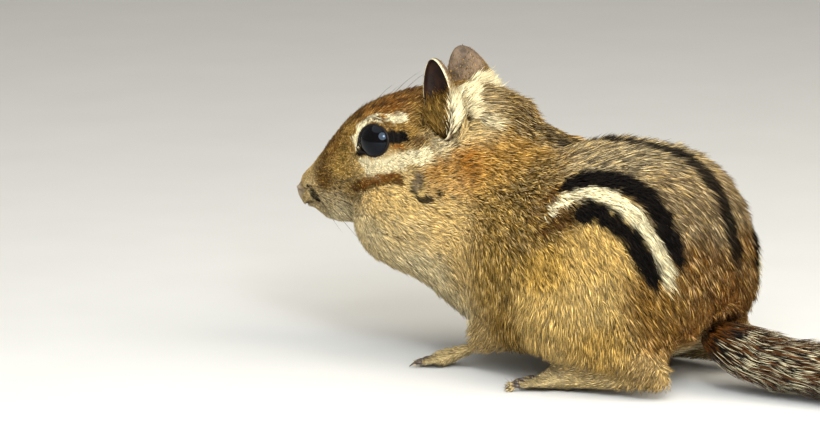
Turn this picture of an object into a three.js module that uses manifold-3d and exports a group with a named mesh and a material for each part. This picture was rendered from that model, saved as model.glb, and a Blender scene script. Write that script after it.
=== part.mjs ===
// An eastern chipmunk at life size, crouched on all fours with its head turned to its left and both cheek
// pouches filled. Millimetres. X runs to the animal's left, Y to its rear and Z up; the floor is Z = 0.
// The flesh is one smooth field of named swellings. It is wrapped in facets and parted by thin cuts into
// head, neck, torso, legs and tail. Eyes, ears, feet and the tail's locks are modelled round it.
import * as THREE from "three";
import { mergeVertices } from "three/addons/utils/BufferGeometryUtils.js";
import Module from "manifold-3d";

const wasm = await Module();
wasm.setup();

const GAP = 0.3; // between neighbouring pieces
const LEFT = 1;
const RIGHT = -1;
const deg = THREE.MathUtils.degToRad;
const v3 = (x, y, z) => new THREE.Vector3(x, y, z);

// Driving dimensions
const NOSE_TIP = v3(11.3, -39.3, 31.6); // the head's own origin
const HEAD_YAW = deg(17.5); // the head turns this far to its left
const BACK_TOP = 45.9; // highest point of the hunched back
const RUMP_END = 53; // rearmost point of the rump
const BODY_HALF_WIDTH = 21.5;
const EYE = { back: 19.6, left: 7.3, up: 11.3, radius: 4.3, width: 6.6, height: 5.9 };
const LID = { thickness: 1.05, out: 2.65 };
const EAR = { back: 32.3, left: 10.2, up: 20.3, height: 16.8, width: 9.2, depth: 6.6, wall: 0.9 };
const EAR_LEAN = deg(23); // the ears' tips lean forward
const MOUTH = { back: 6.2, up: -2.9, reach: 7.4, opening: 0.45 };
const NOSTRIL = { back: 0.75, left: 1.35, up: -0.7, radii: v3(0.9, 0.55, 0.5) };

// The head's own directions: back from the nose tip, left, and up
const headForward = v3(Math.sin(HEAD_YAW), -Math.cos(HEAD_YAW), 0);
const headLeft = v3(Math.cos(HEAD_YAW), Math.sin(HEAD_YAW), 0);
const headPoint = (back, left, up) =>
  NOSE_TIP.clone().addScaledVector(headForward, -back).addScaledVector(headLeft, left).add(v3(0, 0, up));

// Fields are negative inside. Each swelling is a function of x, y and z.
const ellipsoid = (centre, radii, turn = new THREE.Euler()) => {
  const back = new THREE.Matrix4().makeRotationFromEuler(turn).transpose().elements;
  const least = Math.min(radii.x, radii.y, radii.z);
  return (x, y, z) => {
    const [dx, dy, dz] = [x - centre.x, y - centre.y, z - centre.z];
    const a = (back[0] * dx + back[4] * dy + back[8] * dz) / radii.x;
    const b = (back[1] * dx + back[5] * dy + back[9] * dz) / radii.y;
    const c = (back[2] * dx + back[6] * dy + back[10] * dz) / radii.z;
    return (Math.sqrt(a * a + b * b + c * c) - 1) * least;
  };
};
// Fuller than an ellipsoid, and with a height of its own below the middle
const fullForm = (centre, radii, below, power) => (x, y, z) => {
  const a = Math.abs(x - centre.x) / radii.x;
  const b = Math.abs(y - centre.y) / radii.y;
  const c = Math.abs(z - centre.z) / (z > centre.z ? radii.z : below);
  return ((a ** power + b ** power + c ** power) ** (1 / power) - 1) * below;
};
// A bar between two points whose radius goes evenly from one to the other
const taperedBar = (from, to, radiusFrom, radiusTo) => {
  const along = to.clone().sub(from);
  const length2 = along.lengthSq();
  return (x, y, z) => {
    const [dx, dy, dz] = [x - from.x, y - from.y, z - from.z];
    const t = Math.min(1, Math.max(0, (dx * along.x + dy * along.y + dz * along.z) / length2));
    const away = Math.hypot(dx - t * along.x, dy - t * along.y, dz - t * along.z);
    return away - radiusFrom - t * (radiusTo - radiusFrom);
  };
};
const blend = (a, b, width) => {
  const h = Math.max(width - Math.abs(a - b), 0) / width;
  return Math.min(a, b) - (h * h * width) / 4;
};
const joined = (width, ...fields) => (x, y, z) =>
  fields.map((field) => field(x, y, z)).reduce((a, b) => blend(a, b, width));

// Skull and muzzle: a tube of oval sections strung back from the nose
const SKULL_SECTIONS = [
  // back, centre's height, half height, half width
  [1.5, -0.3, 3.2, 3.0],
  [5, 1.7, 5.6, 4.8],
  [10, 4.2, 9.9, 7.2],
  [15, 5.8, 12.0, 9.3],
  [20, 6.9, 13.1, 10.7],
  [27, 8.0, 13.6, 12.0],
  [34, 8.6, 13.6, 12.6],
  [40, 8.0, 12.8, 12.4],
  [46, 7.0, 11.6, 11.8],
];
const skullShape = new THREE.CubicInterpolant(
  SKULL_SECTIONS.map((s) => s[0]),
  SKULL_SECTIONS.flatMap((s) => s.slice(1)),
  3,
);
const skull = (x, y, z) => {
  const q = v3(x, y, z).sub(NOSE_TIP);
  const back = -q.dot(headForward);
  const [centre, halfHeight, halfWidth] = skullShape.evaluate(THREE.MathUtils.clamp(back, 1.5, 46));
  const across = Math.hypot(q.dot(headLeft) / halfWidth, (q.z - centre) / halfHeight);
  const tube = (across - 1) * Math.min(halfWidth, halfHeight);
  return Math.max(tube, 2.2 - back, back - 45);
};
const headTurn = new THREE.Euler(0, 0, HEAD_YAW);
const inHead = (back, left, up, halfLength, halfWidth, halfHeight) =>
  ellipsoid(headPoint(back, left, up), v3(halfWidth, halfLength, halfHeight), headTurn);
const headField = joined(
  2.5,
  skull,
  inHead(2.5, 0, -0.6, 2.6, 2.5, 2.5), // nose
  inHead(9.5, 0, -3.6, 5.2, 4.2, 3.2), // chin and lower lip
  inHead(28, 8.6, -3.4, 14, 8.8, 11.2), // filled cheek pouches
  inHead(28, -8.6, -3.4, 14, 8.8, 11.2),
  inHead(20, 5.4, 11.2, 6.4, 4.8, 5.7), // eye sockets and brows
  inHead(20, -5.4, 11.2, 6.4, 4.8, 5.7),
);

// Trunk, with the neck rising into the back of the head
const neckField = taperedBar(headPoint(38, 0, 6.5), v3(0, 15, 27), 13.4, 16.0);
const rump = fullForm(
  v3(0, RUMP_END - 24, BACK_TOP - 23),
  v3(BODY_HALF_WIDTH, 24, 23),
  17.5,
  2.5,
);
const chest = ellipsoid(v3(1, 4, 21.5), v3(15, 17.5, 15));
const belly = ellipsoid(v3(0, 26, 19), v3(17, 22, 13));

// Limbs, given for the left side and mirrored
const SHOULDER = v3(12, 12, 24);
const ELBOW = v3(15, 15, 11);
const WRIST = v3(12, 2, 4.2);
const HIP = v3(9.5, 38, 21);
const KNEE = v3(18.6, 26, 13.5);
const HEEL = v3(16.5, 48, 4.5);
const mirrored = (point, hand) => v3(hand * point.x, point.y, point.z);
const thigh = (hand) =>
  joined(
    4,
    taperedBar(mirrored(HIP, hand), mirrored(KNEE, hand), 12, 7),
    taperedBar(mirrored(v3(17.5, 32, 11), hand), mirrored(HEEL, hand), 6.8, 3.4),
  );
const foreleg = (hand) =>
  joined(
    3,
    taperedBar(mirrored(SHOULDER, hand), mirrored(ELBOW, hand), 8.5, 4.6),
    taperedBar(mirrored(ELBOW, hand), mirrored(WRIST, hand), 4.4, 2.5),
  );

const flesh = joined(
  6,
  headField,
  neckField,
  joined(9, rump, chest, belly),
  thigh(LEFT),
  thigh(RIGHT),
  foreleg(LEFT),
  foreleg(RIGHT),
);

// Wrapping a field in facets: one vertex in each cell that the surface crosses, pulled onto the surface
const axis = (from, to, cell, last = cell) => {
  const stops = [from];
  while (stops.at(-1) < to) {
    const share = Math.min(1, (stops.at(-1) - from) / (to - from));
    stops.push(stops.at(-1) + cell + share * (last - cell));
  }
  return stops;
};
const pulled = (field, p, steps = 4) => {
  const e = 0.05;
  for (let step = 0; step < steps; step++) {
    const f = field(p.x, p.y, p.z);
    const slope = v3(
      field(p.x + e, p.y, p.z) - field(p.x - e, p.y, p.z),
      field(p.x, p.y + e, p.z) - field(p.x, p.y - e, p.z),
      field(p.x, p.y, p.z + e) - field(p.x, p.y, p.z - e),
    ).divideScalar(2 * e);
    p.addScaledVector(slope, -THREE.MathUtils.clamp(f, -0.8, 0.8) / Math.max(slope.lengthSq(), 0.2));
  }
  return p;
};
function wrapped(field, xs, ys, zs) {
  const [nx, ny, nz] = [xs.length, ys.length, zs.length];
  const at = (i, j, k) => i + nx * (j + ny * k);
  const onEdge = (i, j, k) => i < 1 || j < 1 || k < 1 || i > nx - 2 || j > ny - 2 || k > nz - 2;
  const value = new Float32Array(nx * ny * nz);
  for (let k = 0; k < nz; k++)
    for (let j = 0; j < ny; j++)
      for (let i = 0; i < nx; i++) {
        const f = field(xs[i], ys[j], zs[k]);
        value[at(i, j, k)] = onEdge(i, j, k) ? Math.max(f, 0.05) : f;
      }
  const corners = [0, 1, 2, 3, 4, 5, 6, 7].map((c) => [c & 1, (c >> 1) & 1, c >> 2]);
  const edges = corners.flatMap((a, i) =>
    corners.slice(i + 1).flatMap((b) => (a.filter((x, n) => x !== b[n]).length === 1 ? [[a, b]] : [])),
  );
  const vertexOf = new Int32Array(nx * ny * nz).fill(-1);
  const points = [];
  const fixed = [];
  for (let k = 0; k < nz - 1; k++)
    for (let j = 0; j < ny - 1; j++)
      for (let i = 0; i < nx - 1; i++) {
        const sum = v3(0, 0, 0);
        let crossings = 0;
        for (const [a, b] of edges) {
          const fa = value[at(i + a[0], j + a[1], k + a[2])];
          const fb = value[at(i + b[0], j + b[1], k + b[2])];
          if (fa < 0 === fb < 0) continue;
          const t = fa / (fa - fb);
          sum.add(
            v3(
              THREE.MathUtils.lerp(xs[i + a[0]], xs[i + b[0]], t),
              THREE.MathUtils.lerp(ys[j + a[1]], ys[j + b[1]], t),
              THREE.MathUtils.lerp(zs[k + a[2]], zs[k + b[2]], t),
            ),
          );
          crossings++;
        }
        if (!crossings) continue;
        vertexOf[at(i, j, k)] = points.length;
        const rim = onEdge(i, j, k) || onEdge(i + 1, j + 1, k + 1);
        fixed.push(rim);
        points.push(sum.divideScalar(crossings));
      }
  const faces = [];
  const neighbours = points.map(() => new Set());
  const quad = (a, b, c, d, flip) => {
    const ring = (flip ? [d, c, b, a] : [a, b, c, d]).map((cell) => vertexOf[cell]);
    ring.forEach((v, n) => neighbours[v].add(ring[(n + 1) % 4]).add(ring[(n + 3) % 4]));
    faces.push(ring);
  };
  for (let k = 0; k < nz - 1; k++)
    for (let j = 0; j < ny - 1; j++)
      for (let i = 0; i < nx - 1; i++) {
        const inside = value[at(i, j, k)] < 0;
        if (j && k && inside !== value[at(i + 1, j, k)] < 0)
          quad(at(i, j - 1, k - 1), at(i, j, k - 1), at(i, j, k), at(i, j - 1, k), !inside);
        if (i && k && inside !== value[at(i, j + 1, k)] < 0)
          quad(at(i - 1, j, k - 1), at(i, j, k - 1), at(i, j, k), at(i - 1, j, k), inside);
        if (i && j && inside !== value[at(i, j, k + 1)] < 0)
          quad(at(i - 1, j - 1, k), at(i, j - 1, k), at(i, j, k), at(i - 1, j, k), !inside);
      }
  for (let round = 0; round < 3; round++) {
    const even = points.map((p, n) => {
      const mean = v3(0, 0, 0);
      neighbours[n].forEach((m) => mean.add(points[m]));
      return fixed[n] ? p : p.clone().lerp(mean.divideScalar(neighbours[n].size), 0.5);
    });
    even.forEach((p, n) => points[n].copy(fixed[n] ? p : pulled(field, p)));
  }
  const geometry = new THREE.BufferGeometry().setFromPoints(points);
  geometry.setIndex(
    faces.flatMap(([a, b, c, d]) => {
      const shorter = points[a].distanceTo(points[c]) < points[b].distanceTo(points[d]);
      return shorter ? [a, b, c, a, c, d] : [a, b, d, b, c, d];
    }),
  );
  return solidOf(geometry);
}

// Solids: a closed geometry goes in, and joined or cut geometry comes out
function solidOf(geometry) {
  const bare = geometry.clone();
  bare.deleteAttribute("normal");
  bare.deleteAttribute("uv");
  const merged = mergeVertices(bare, 1e-4);
  return new wasm.Manifold(
    new wasm.Mesh({
      numProp: 3,
      vertProperties: merged.attributes.position.array,
      triVerts: new Uint32Array(merged.index.array),
    }),
  );
}
const largest = (solid) => solid.decompose().sort((a, b) => b.volume() - a.volume())[0];
// Vertices go onto a fine grid, and facets that this closes up are left out
const FINEST = 0.002;
function geometryOf(solid) {
  const mesh = largest(solid).getMesh();
  const snapped = mesh.vertProperties.map((value) => Math.round(value / FINEST) * FINEST);
  const merged = mergeVertices(
    new THREE.BufferGeometry()
      .setAttribute("position", new THREE.BufferAttribute(snapped, 3))
      .setIndex(new THREE.BufferAttribute(mesh.triVerts, 1)),
    FINEST / 4,
  );
  const index = merged.index.array;
  const kept = [];
  for (let n = 0; n < index.length; n += 3) {
    const [a, b, c] = index.slice(n, n + 3);
    if (a !== b && b !== c && c !== a) kept.push(a, b, c);
  }
  return merged.setIndex(kept).toNonIndexed();
}
const placed = (geometry, matrix) => solidOf(geometry.clone().applyMatrix4(matrix));
const allJoined = (solids) => solids.reduce((a, b) => a.add(b));

// Cutters: half a space, an upright or lying oval drum, and a ball
const REACH = 400;
const beyond = (point, outward, clearance = GAP / 2) => {
  const way = outward.clone().normalize();
  const turn = new THREE.Quaternion().setFromUnitVectors(v3(0, 0, 1), way);
  const middle = point.clone().addScaledVector(way, REACH / 2 + clearance);
  const matrix = new THREE.Matrix4().compose(middle, turn, v3(1, 1, 1));
  return placed(new THREE.BoxGeometry(REACH, REACH, REACH), matrix);
};
const sideDrum = (hand, inner, y, z, halfLength, halfHeight, lean, grow) => {
  const length = 40;
  const turn = new THREE.Quaternion().setFromEuler(new THREE.Euler(lean, 0, 0));
  const lying = new THREE.Quaternion().setFromUnitVectors(v3(0, 1, 0), v3(1, 0, 0));
  const middle = v3(hand * (inner - grow + length / 2), y, z);
  const size = v3(halfHeight + grow, length, halfLength + grow);
  return placed(
    new THREE.CylinderGeometry(1, 1, 1, 28),
    new THREE.Matrix4().compose(middle, turn.multiply(lying), size),
  );
};
const ball = (centre, radii, turn = new THREE.Quaternion(), around = 16, down = 9) =>
  placed(new THREE.SphereGeometry(1, around, down), new THREE.Matrix4().compose(centre, turn, radii));
// A rounded bar, thicker or thinner at its far end and flattened in height
const bar = (from, to, radiusFrom, radiusTo, flat = 1, around = 6, down = 3) => {
  const geometry = new THREE.SphereGeometry(1, around, down);
  const turn = new THREE.Quaternion().setFromUnitVectors(v3(0, 1, 0), to.clone().sub(from).normalize());
  const position = geometry.attributes.position;
  for (let n = 0; n < position.count; n++) {
    const p = new THREE.Vector3().fromBufferAttribute(position, n);
    const atEnd = p.y > 0;
    p.multiplyScalar(atEnd ? radiusTo : radiusFrom).applyQuaternion(turn);
    p.z *= flat;
    p.add(atEnd ? to : from);
    position.setXYZ(n, p.x, p.y, p.z);
  }
  return solidOf(geometry);
};

// Where the cuts run
const HEAD_CUT = { point: headPoint(43, 0, 2), outward: headForward.clone().negate().add(v3(0, 0, -0.21)) };
const NECK_CUT = { point: v3(0, 12, 27), outward: v3(0, 1, -0.35) };
const TAIL_CUT = { point: v3(0, RUMP_END - 5, 9), outward: v3(0, 1, -0.4) };
const ANKLE_HEIGHT = 4.4;
const WRIST_CUT = { point: v3(0, 3.2, 5.4), outward: v3(0, 1, 0.55) };
const THROAT_HEIGHT = 15.5;
const hindquarter = (hand, grow) => sideDrum(hand, 9, 38, 13.5, 17.5, 15, deg(-12), grow);
const forequarter = (hand, grow) => {
  const forearm = [mirrored(v3(15, 15, 10), hand), mirrored(v3(12.3, -8, 3), hand)];
  return sideDrum(hand, 7, 12, 14.5, 11, 13, deg(20), grow).add(bar(...forearm, 7 + grow, 6.5 + grow));
};

const cells = (low, high, cell, last = cell) => [
  axis(low.x, high.x, cell),
  axis(low.y, high.y, cell, last),
  axis(low.z, high.z, cell),
];
const inBack = (plane) => beyond(plane.point, plane.outward);
const inFront = (plane) => beyond(plane.point, plane.outward.clone().negate());

// Feet: a sole, toes and claws. Toes are given by their sideways places, in shares of the foot's width.
const FOREPAW = {
  heel: WRIST,
  ball: v3(12.6, -3.2, 1.9),
  width: 6.4,
  toes: [-0.5, -0.17, 0.17, 0.5],
  toeRadius: 1.05,
  toeLength: 5.0,
  claw: 1.6,
};
const HIND_FOOT = {
  heel: v3(16.5, 48.5, 3.2),
  ball: v3(18.8, 26.5, 2.2),
  width: 7.6,
  toes: [-0.62, -0.3, 0, 0.3, 0.62],
  toeRadius: 1.15,
  toeLength: 7.6,
  claw: 2.0,
};
const floorUp = beyond(v3(0, 0, 0), v3(0, 0, 1), 0);
function foot(hand, { heel, ball, width, toes, toeRadius, toeLength, claw }) {
  const sole = bar(mirrored(heel, hand), mirrored(ball, hand), width * 0.36, width * 0.5, 0.62, 10, 5);
  const along = ball.clone().sub(heel).setZ(0).normalize();
  const across = v3(-along.y, along.x, 0);
  const digits = toes.flatMap((spread) => {
    const reach = toeLength * (1 - 0.55 * spread * spread);
    const way = along.clone().addScaledVector(across, -spread * 0.55).normalize();
    const root = ball.clone().addScaledVector(across, -spread * width * 0.82).setZ(toeRadius + 0.6);
    const tip = root.clone().addScaledVector(way, reach).setZ(toeRadius * 0.85);
    const point = tip.clone().addScaledVector(way, claw).setZ(0.35);
    const nail = new THREE.ConeGeometry(0.6, claw + 1, 5);
    const direction = mirrored(point, hand).sub(mirrored(tip, hand)).normalize();
    const turn = new THREE.Quaternion().setFromUnitVectors(v3(0, 1, 0), direction);
    const middle = mirrored(tip, hand).addScaledVector(direction, claw / 2);
    return [
      bar(mirrored(root, hand), mirrored(tip, hand), toeRadius * 1.15, toeRadius * 0.85),
      placed(nail, new THREE.Matrix4().compose(middle, turn, v3(1, 1, 1))),
    ];
  });
  return allJoined([sole, ...digits]).intersect(floorUp);
}

// Head: lids round the eyes, sockets, hollows for the ears, the mouth and the nostrils
const eyeCentre = (hand) => headPoint(EYE.back, hand * EYE.left, EYE.up);
const turnedTo = (hand, forward, up) =>
  headLeft.clone().multiplyScalar(hand).addScaledVector(headForward, forward).setZ(up).normalize();
const gaze = (hand) => turnedTo(hand, 0.28, 0.12);
const facing = (way) => {
  const up = v3(0, 0, 1).addScaledVector(way, -way.z).normalize();
  const basis = new THREE.Matrix4().makeBasis(up.clone().cross(way), up, way);
  return new THREE.Quaternion().setFromRotationMatrix(basis);
};
const lids = (hand) => {
  const middle = eyeCentre(hand).addScaledVector(gaze(hand), LID.out);
  const ring = new THREE.TorusGeometry(1, LID.thickness / EYE.width, 6, 18);
  const size = v3(EYE.width / 2 + 0.35, EYE.height / 2 + 0.35, EYE.height / 2 + 0.35);
  return placed(ring, new THREE.Matrix4().compose(middle, facing(gaze(hand)), size));
};
const socket = (hand) => {
  const way = gaze(hand);
  const opening = new THREE.CylinderGeometry(1, 1, 1, 18).rotateX(Math.PI / 2);
  const middle = eyeCentre(hand).addScaledVector(way, 4);
  const size = v3(EYE.width / 2, EYE.height / 2, 6);
  return placed(opening, new THREE.Matrix4().compose(middle, facing(way), size)).add(
    ball(eyeCentre(hand), v3(1, 1, 1).multiplyScalar(EYE.radius + GAP)),
  );
};
const earCentre = (hand) => headPoint(EAR.back, hand * EAR.left, EAR.up);
const earTurn = (hand) => {
  const lean = new THREE.Quaternion().setFromAxisAngle(headLeft, EAR_LEAN);
  return lean.multiply(facing(turnedTo(hand, 0.62, 0.33)));
};
const earBall = (hand, grow, shift = 0) => {
  const turn = earTurn(hand);
  const centre = earCentre(hand).add(v3(0, 0, shift).applyQuaternion(turn));
  const radii = v3(EAR.width / 2 + grow, EAR.height / 2 + grow, EAR.depth / 2 + grow);
  return ball(centre, radii, turn, 16, 8);
};
const ear = (hand) => {
  const outward = v3(0, 0, 1).applyQuaternion(earTurn(hand));
  const rim = earCentre(hand).addScaledVector(outward, 0.9);
  const cup = earBall(hand, 0).subtract(earBall(hand, -EAR.wall, 1.1));
  return cup.subtract(beyond(rim, outward, 0));
};
const mouth = ball(
  headPoint(MOUTH.back, 0, MOUTH.up),
  v3(MOUTH.reach, MOUTH.reach, MOUTH.opening / 2),
  new THREE.Quaternion().setFromEuler(new THREE.Euler(deg(-8), 0, HEAD_YAW, "ZYX")),
  24,
  6,
);
const nostril = (hand) =>
  ball(
    headPoint(NOSTRIL.back, hand * NOSTRIL.left, NOSTRIL.up),
    NOSTRIL.radii,
    new THREE.Quaternion().setFromEuler(headTurn),
    8,
    6,
  );

const headRegion = (clearance) =>
  beyond(HEAD_CUT.point, HEAD_CUT.outward.clone().negate(), clearance).intersect(
    beyond(v3(0, 0, THROAT_HEIGHT), v3(0, 0, 1), clearance),
  );
const headBlock = wrapped(flesh, ...cells(v3(-26, -44, 8), v3(36, 16, 60), 2.05, 2.8));
const head = [LEFT, RIGHT].reduce(
  (solid, hand) =>
    solid.add(lids(hand)).subtract(socket(hand)).subtract(earBall(hand, GAP)).subtract(nostril(hand)),
  headBlock.intersect(headRegion(GAP / 2)).subtract(mouth),
);

// Trunk and limbs out of one block
const wholeBody = wrapped(flesh, ...cells(v3(-30, -24, -1.7), v3(32, 60, 58), 3.5));
const bodyBlock = wholeBody.subtract(headRegion(-GAP / 2));
const trunk = [LEFT, RIGHT].reduce(
  (solid, hand) => solid.subtract(hindquarter(hand, GAP)).subtract(forequarter(hand, GAP)),
  bodyBlock,
);

// Tail: laid back along the floor with a gentle curve
const tailLine = new THREE.CatmullRomCurve3([
  v3(0, RUMP_END - 10, 14),
  v3(0, RUMP_END, 8.5),
  v3(-0.5, RUMP_END + 14, 6.2),
  v3(-3, RUMP_END + 34, 5.6),
  v3(-9, RUMP_END + 60, 5.2),
  v3(-17, RUMP_END + 84, 4.2),
]);
const TAIL_PROFILE = [
  // share of the length, half width, half height
  [0, 5.5, 5.5],
  [0.18, 8.5, 5.8],
  [0.45, 10.5, 6.2],
  [0.75, 10.5, 6.0],
  [0.93, 7, 4.6],
  [1, 2.4, 2.2],
];
const tailShape = new THREE.LinearInterpolant(
  TAIL_PROFILE.map((s) => s[0]),
  TAIL_PROFILE.flatMap((s) => s.slice(1)),
  2,
);
const tailSize = (share) => [...tailShape.evaluate(THREE.MathUtils.clamp(share, 0, 1))];
const tailStops = tailLine.getSpacedPoints(60);
const tailField = (fullness) => (x, y, z) => {
  let best = 1e9;
  tailStops.forEach((stop, n) => {
    const [halfWidth, halfHeight] = tailSize(n / 60).map((size) => size * fullness(n / 60));
    const r = Math.hypot((x - stop.x) / halfWidth, (y - stop.y) / halfWidth, (z - stop.z) / halfHeight);
    best = Math.min(best, (r - 1) * halfHeight);
  });
  return best;
};
// The tail is thick with hair where it meets the rump, and a slim core inside its locks further on
const coreFullness = (share) =>
  THREE.MathUtils.lerp(0.92, 0.5, THREE.MathUtils.smoothstep(share, 0.06, 0.24));
const tailCells = cells(v3(-34, RUMP_END - 18, -3), v3(16, RUMP_END + 96, 22), 3.6);
const tailCore = wrapped(tailField(coreFullness), ...tailCells);

// A flat lock of hair that bends from its root to its tip and narrows to a point
const LOCK = { rings: 9, around: 7, width: 5.4, thickness: 1.0, reach: 17, start: 0.12 };
const LOCK_STATIONS = [
  // share of the length, share of the width, share of the thickness
  [0, 0.5, 1],
  [0.45, 1, 0.9],
  [0.8, 0.6, 0.6],
];
let seed = 7;
const random = () => {
  seed = (seed * 16807) % 2147483647;
  return seed / 2147483647;
};
const between = (low, high) => low + (high - low) * random();
function lock({ root, middle, tip, across }, grow = 0) {
  const line = new THREE.QuadraticBezierCurve3(root, middle, tip);
  const end = tip.clone().addScaledVector(line.getTangent(1), 3 * grow);
  const points = LOCK_STATIONS.flatMap(([t, wide, thick]) => {
    const way = line.getTangent(t);
    const flat = way.clone().cross(across).normalize();
    const halfWidth = (LOCK.width / 2) * wide + grow * 1.3;
    const halfThickness = (LOCK.thickness / 2) * thick + grow * 1.2;
    return [[-1, -1], [1, -1], [1, 1], [-1, 1]].map(([a, b]) =>
      line.getPoint(t).addScaledVector(across, a * halfWidth).addScaledVector(flat, b * halfThickness),
    );
  });
  const index = [0, 2, 1, 0, 3, 2];
  for (let ring = 0; ring < LOCK_STATIONS.length - 1; ring++)
    for (let n = 0; n < 4; n++) {
      const [a, b] = [ring * 4 + n, ring * 4 + ((n + 1) % 4)];
      index.push(a, b, b + 4, a, b + 4, a + 4);
    }
  const last = points.length - 4;
  for (let n = 0; n < 4; n++) index.push(last + n, last + ((n + 1) % 4), points.length);
  return solidOf(new THREE.BufferGeometry().setFromPoints([...points, end]).setIndex(index));
}
const tailPoint = (share, angle, size) => {
  const inside = THREE.MathUtils.clamp(share, 0, 1);
  const way = tailLine.getTangentAt(inside);
  const sideways = v3(-way.y, way.x, 0).normalize();
  const [halfWidth, halfHeight] = tailSize(share);
  return tailLine
    .getPointAt(inside)
    .addScaledVector(way, (share - inside) * tailLine.getLength())
    .addScaledVector(sideways, Math.cos(angle) * halfWidth * size)
    .add(v3(0, 0, Math.sin(angle) * halfHeight * size));
};
const locks = [];
for (let ring = 0; ring < LOCK.rings; ring++)
  for (let n = 0; n < LOCK.around; n++) {
    const share = LOCK.start + ((0.93 - LOCK.start) * (ring + between(-0.3, 0.3))) / (LOCK.rings - 1);
    const angle = deg(-58) + (deg(296) * (n + (ring % 2) / 2 + between(-0.2, 0.2))) / LOCK.around;
    const reach = (LOCK.reach / tailLine.getLength()) * between(0.85, 1.15);
    const inner = coreFullness(share) * 0.78;
    const root = tailPoint(share, angle, inner);
    const middle = tailPoint(share + reach * 0.5, angle, THREE.MathUtils.lerp(inner, 1, 0.85));
    const tip = tailPoint(share + reach, angle + between(-0.12, 0.12), between(0.9, 1.04));
    const outward = tip.clone().sub(tailPoint(share + reach, angle, 0));
    const across = middle.clone().sub(root).cross(outward).normalize();
    locks.push({ share, root, middle, tip, across });
  }
// Each length keeps the locks that are rooted in it, and the next one is cut away round them
const TAIL_ENDS = [0, 0.38, 0.7, 1];
const tailCut = (share) => ({
  point: tailLine.getPointAt(share),
  outward: tailLine.getTangentAt(share).setZ(0),
});
const tailLengths = [0, 1, 2].map((n) => {
  const [from, to] = [TAIL_ENDS[n], TAIL_ENDS[n + 1]];
  const own = locks.filter(({ share }) => share > from && share <= to);
  const before = locks.filter(({ share }) => share <= from && share > from - 0.3);
  const behindCut = n ? inBack(tailCut(from)) : inBack(TAIL_CUT);
  const core = n < 2 ? tailCore.intersect(inFront(tailCut(to))) : tailCore;
  const whole = allJoined([core, ...own.map((one) => lock(one))]).intersect(behindCut).intersect(floorUp);
  return before.reduce((solid, one) => solid.subtract(lock(one, GAP)), whole);
});
const looseTail = (x, y, z) => tailField(() => 1)(x, y, z) - GAP - 0.25;
const socketCells = cells(v3(-14, RUMP_END - 18, -3), v3(14, RUMP_END + 12, 24), 3.2);
const tailSocket = wrapped(looseTail, ...socketCells).intersect(
  beyond(TAIL_CUT.point, TAIL_CUT.outward, -GAP / 2),
);

const tint = (color, roughness) => new THREE.MeshStandardMaterial({ color, roughness, metalness: 0 });
const materials = {
  crown: tint(0x9a6a3c, 0.85),
  back: tint(0x7d6a55, 0.88),
  flank: tint(0xa88457, 0.86),
  ear: tint(0x6f4f3d, 0.8),
  eye: tint(0x0b0a0a, 0.12),
  foot: tint(0xb08d62, 0.8),
  tail: tint(0x66513c, 0.9),
};
const group = new THREE.Group();
const add = (name, solid, material) => {
  const mesh = new THREE.Mesh(geometryOf(solid), material);
  mesh.name = name;
  group.add(mesh);
};
add("head", head, materials.crown);
add("neck", trunk.intersect(inFront(NECK_CUT)), materials.back);
add("torso", trunk.intersect(inBack(NECK_CUT)).subtract(tailSocket), materials.back);
const ankle = v3(0, 0, ANKLE_HEIGHT);
for (const [word, hand] of Object.entries({ left: LEFT, right: RIGHT })) {
  const armBlock = bodyBlock.intersect(forequarter(hand, 0)).subtract(hindquarter(hand, GAP));
  const thighBlock = bodyBlock.intersect(hindquarter(hand, 0));
  add(`ear_${word}`, ear(hand), materials.ear);
  add(`eye_${word}`, ball(eyeCentre(hand), v3(1, 1, 1).multiplyScalar(EYE.radius)), materials.eye);
  add(`foreleg_${word}`, armBlock.intersect(inBack(WRIST_CUT)), materials.flank);
  add(`forepaw_${word}`, foot(hand, FOREPAW).intersect(inFront(WRIST_CUT)), materials.foot);
  add(`thigh_${word}`, thighBlock.intersect(beyond(ankle, v3(0, 0, 1))), materials.flank);
  add(`hind_foot_${word}`, foot(hand, HIND_FOOT).intersect(beyond(ankle, v3(0, 0, -1))), materials.foot);
}
["tail_base", "tail_middle", "tail_tip"].forEach((name, n) => add(name, tailLengths[n], materials.tail));

const bounds = new THREE.Box3().setFromObject(group);
const middle = bounds.getCenter(v3());
const onGrid = (value) => Math.round(value / FINEST) * FINEST;
group.children.forEach((mesh) => mesh.geometry.translate(-onGrid(middle.x), -onGrid(middle.y), 0));

export default group;
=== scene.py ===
"""An eastern chipmunk at life size, crouched on all fours with both cheek pouches filled.

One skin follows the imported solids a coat's depth further in. Blades of hair, grown along the lie of the
coat, stand on it on every side, and skin and hair take their markings from the same places. Lengths are in
millimetres of the solids' own system until a mesh is made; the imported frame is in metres.
"""
import math
from collections import namedtuple

import bmesh
import bpy
import numpy as np
from mathutils import Matrix, Vector
from mathutils.bvhtree import BVHTree


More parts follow.
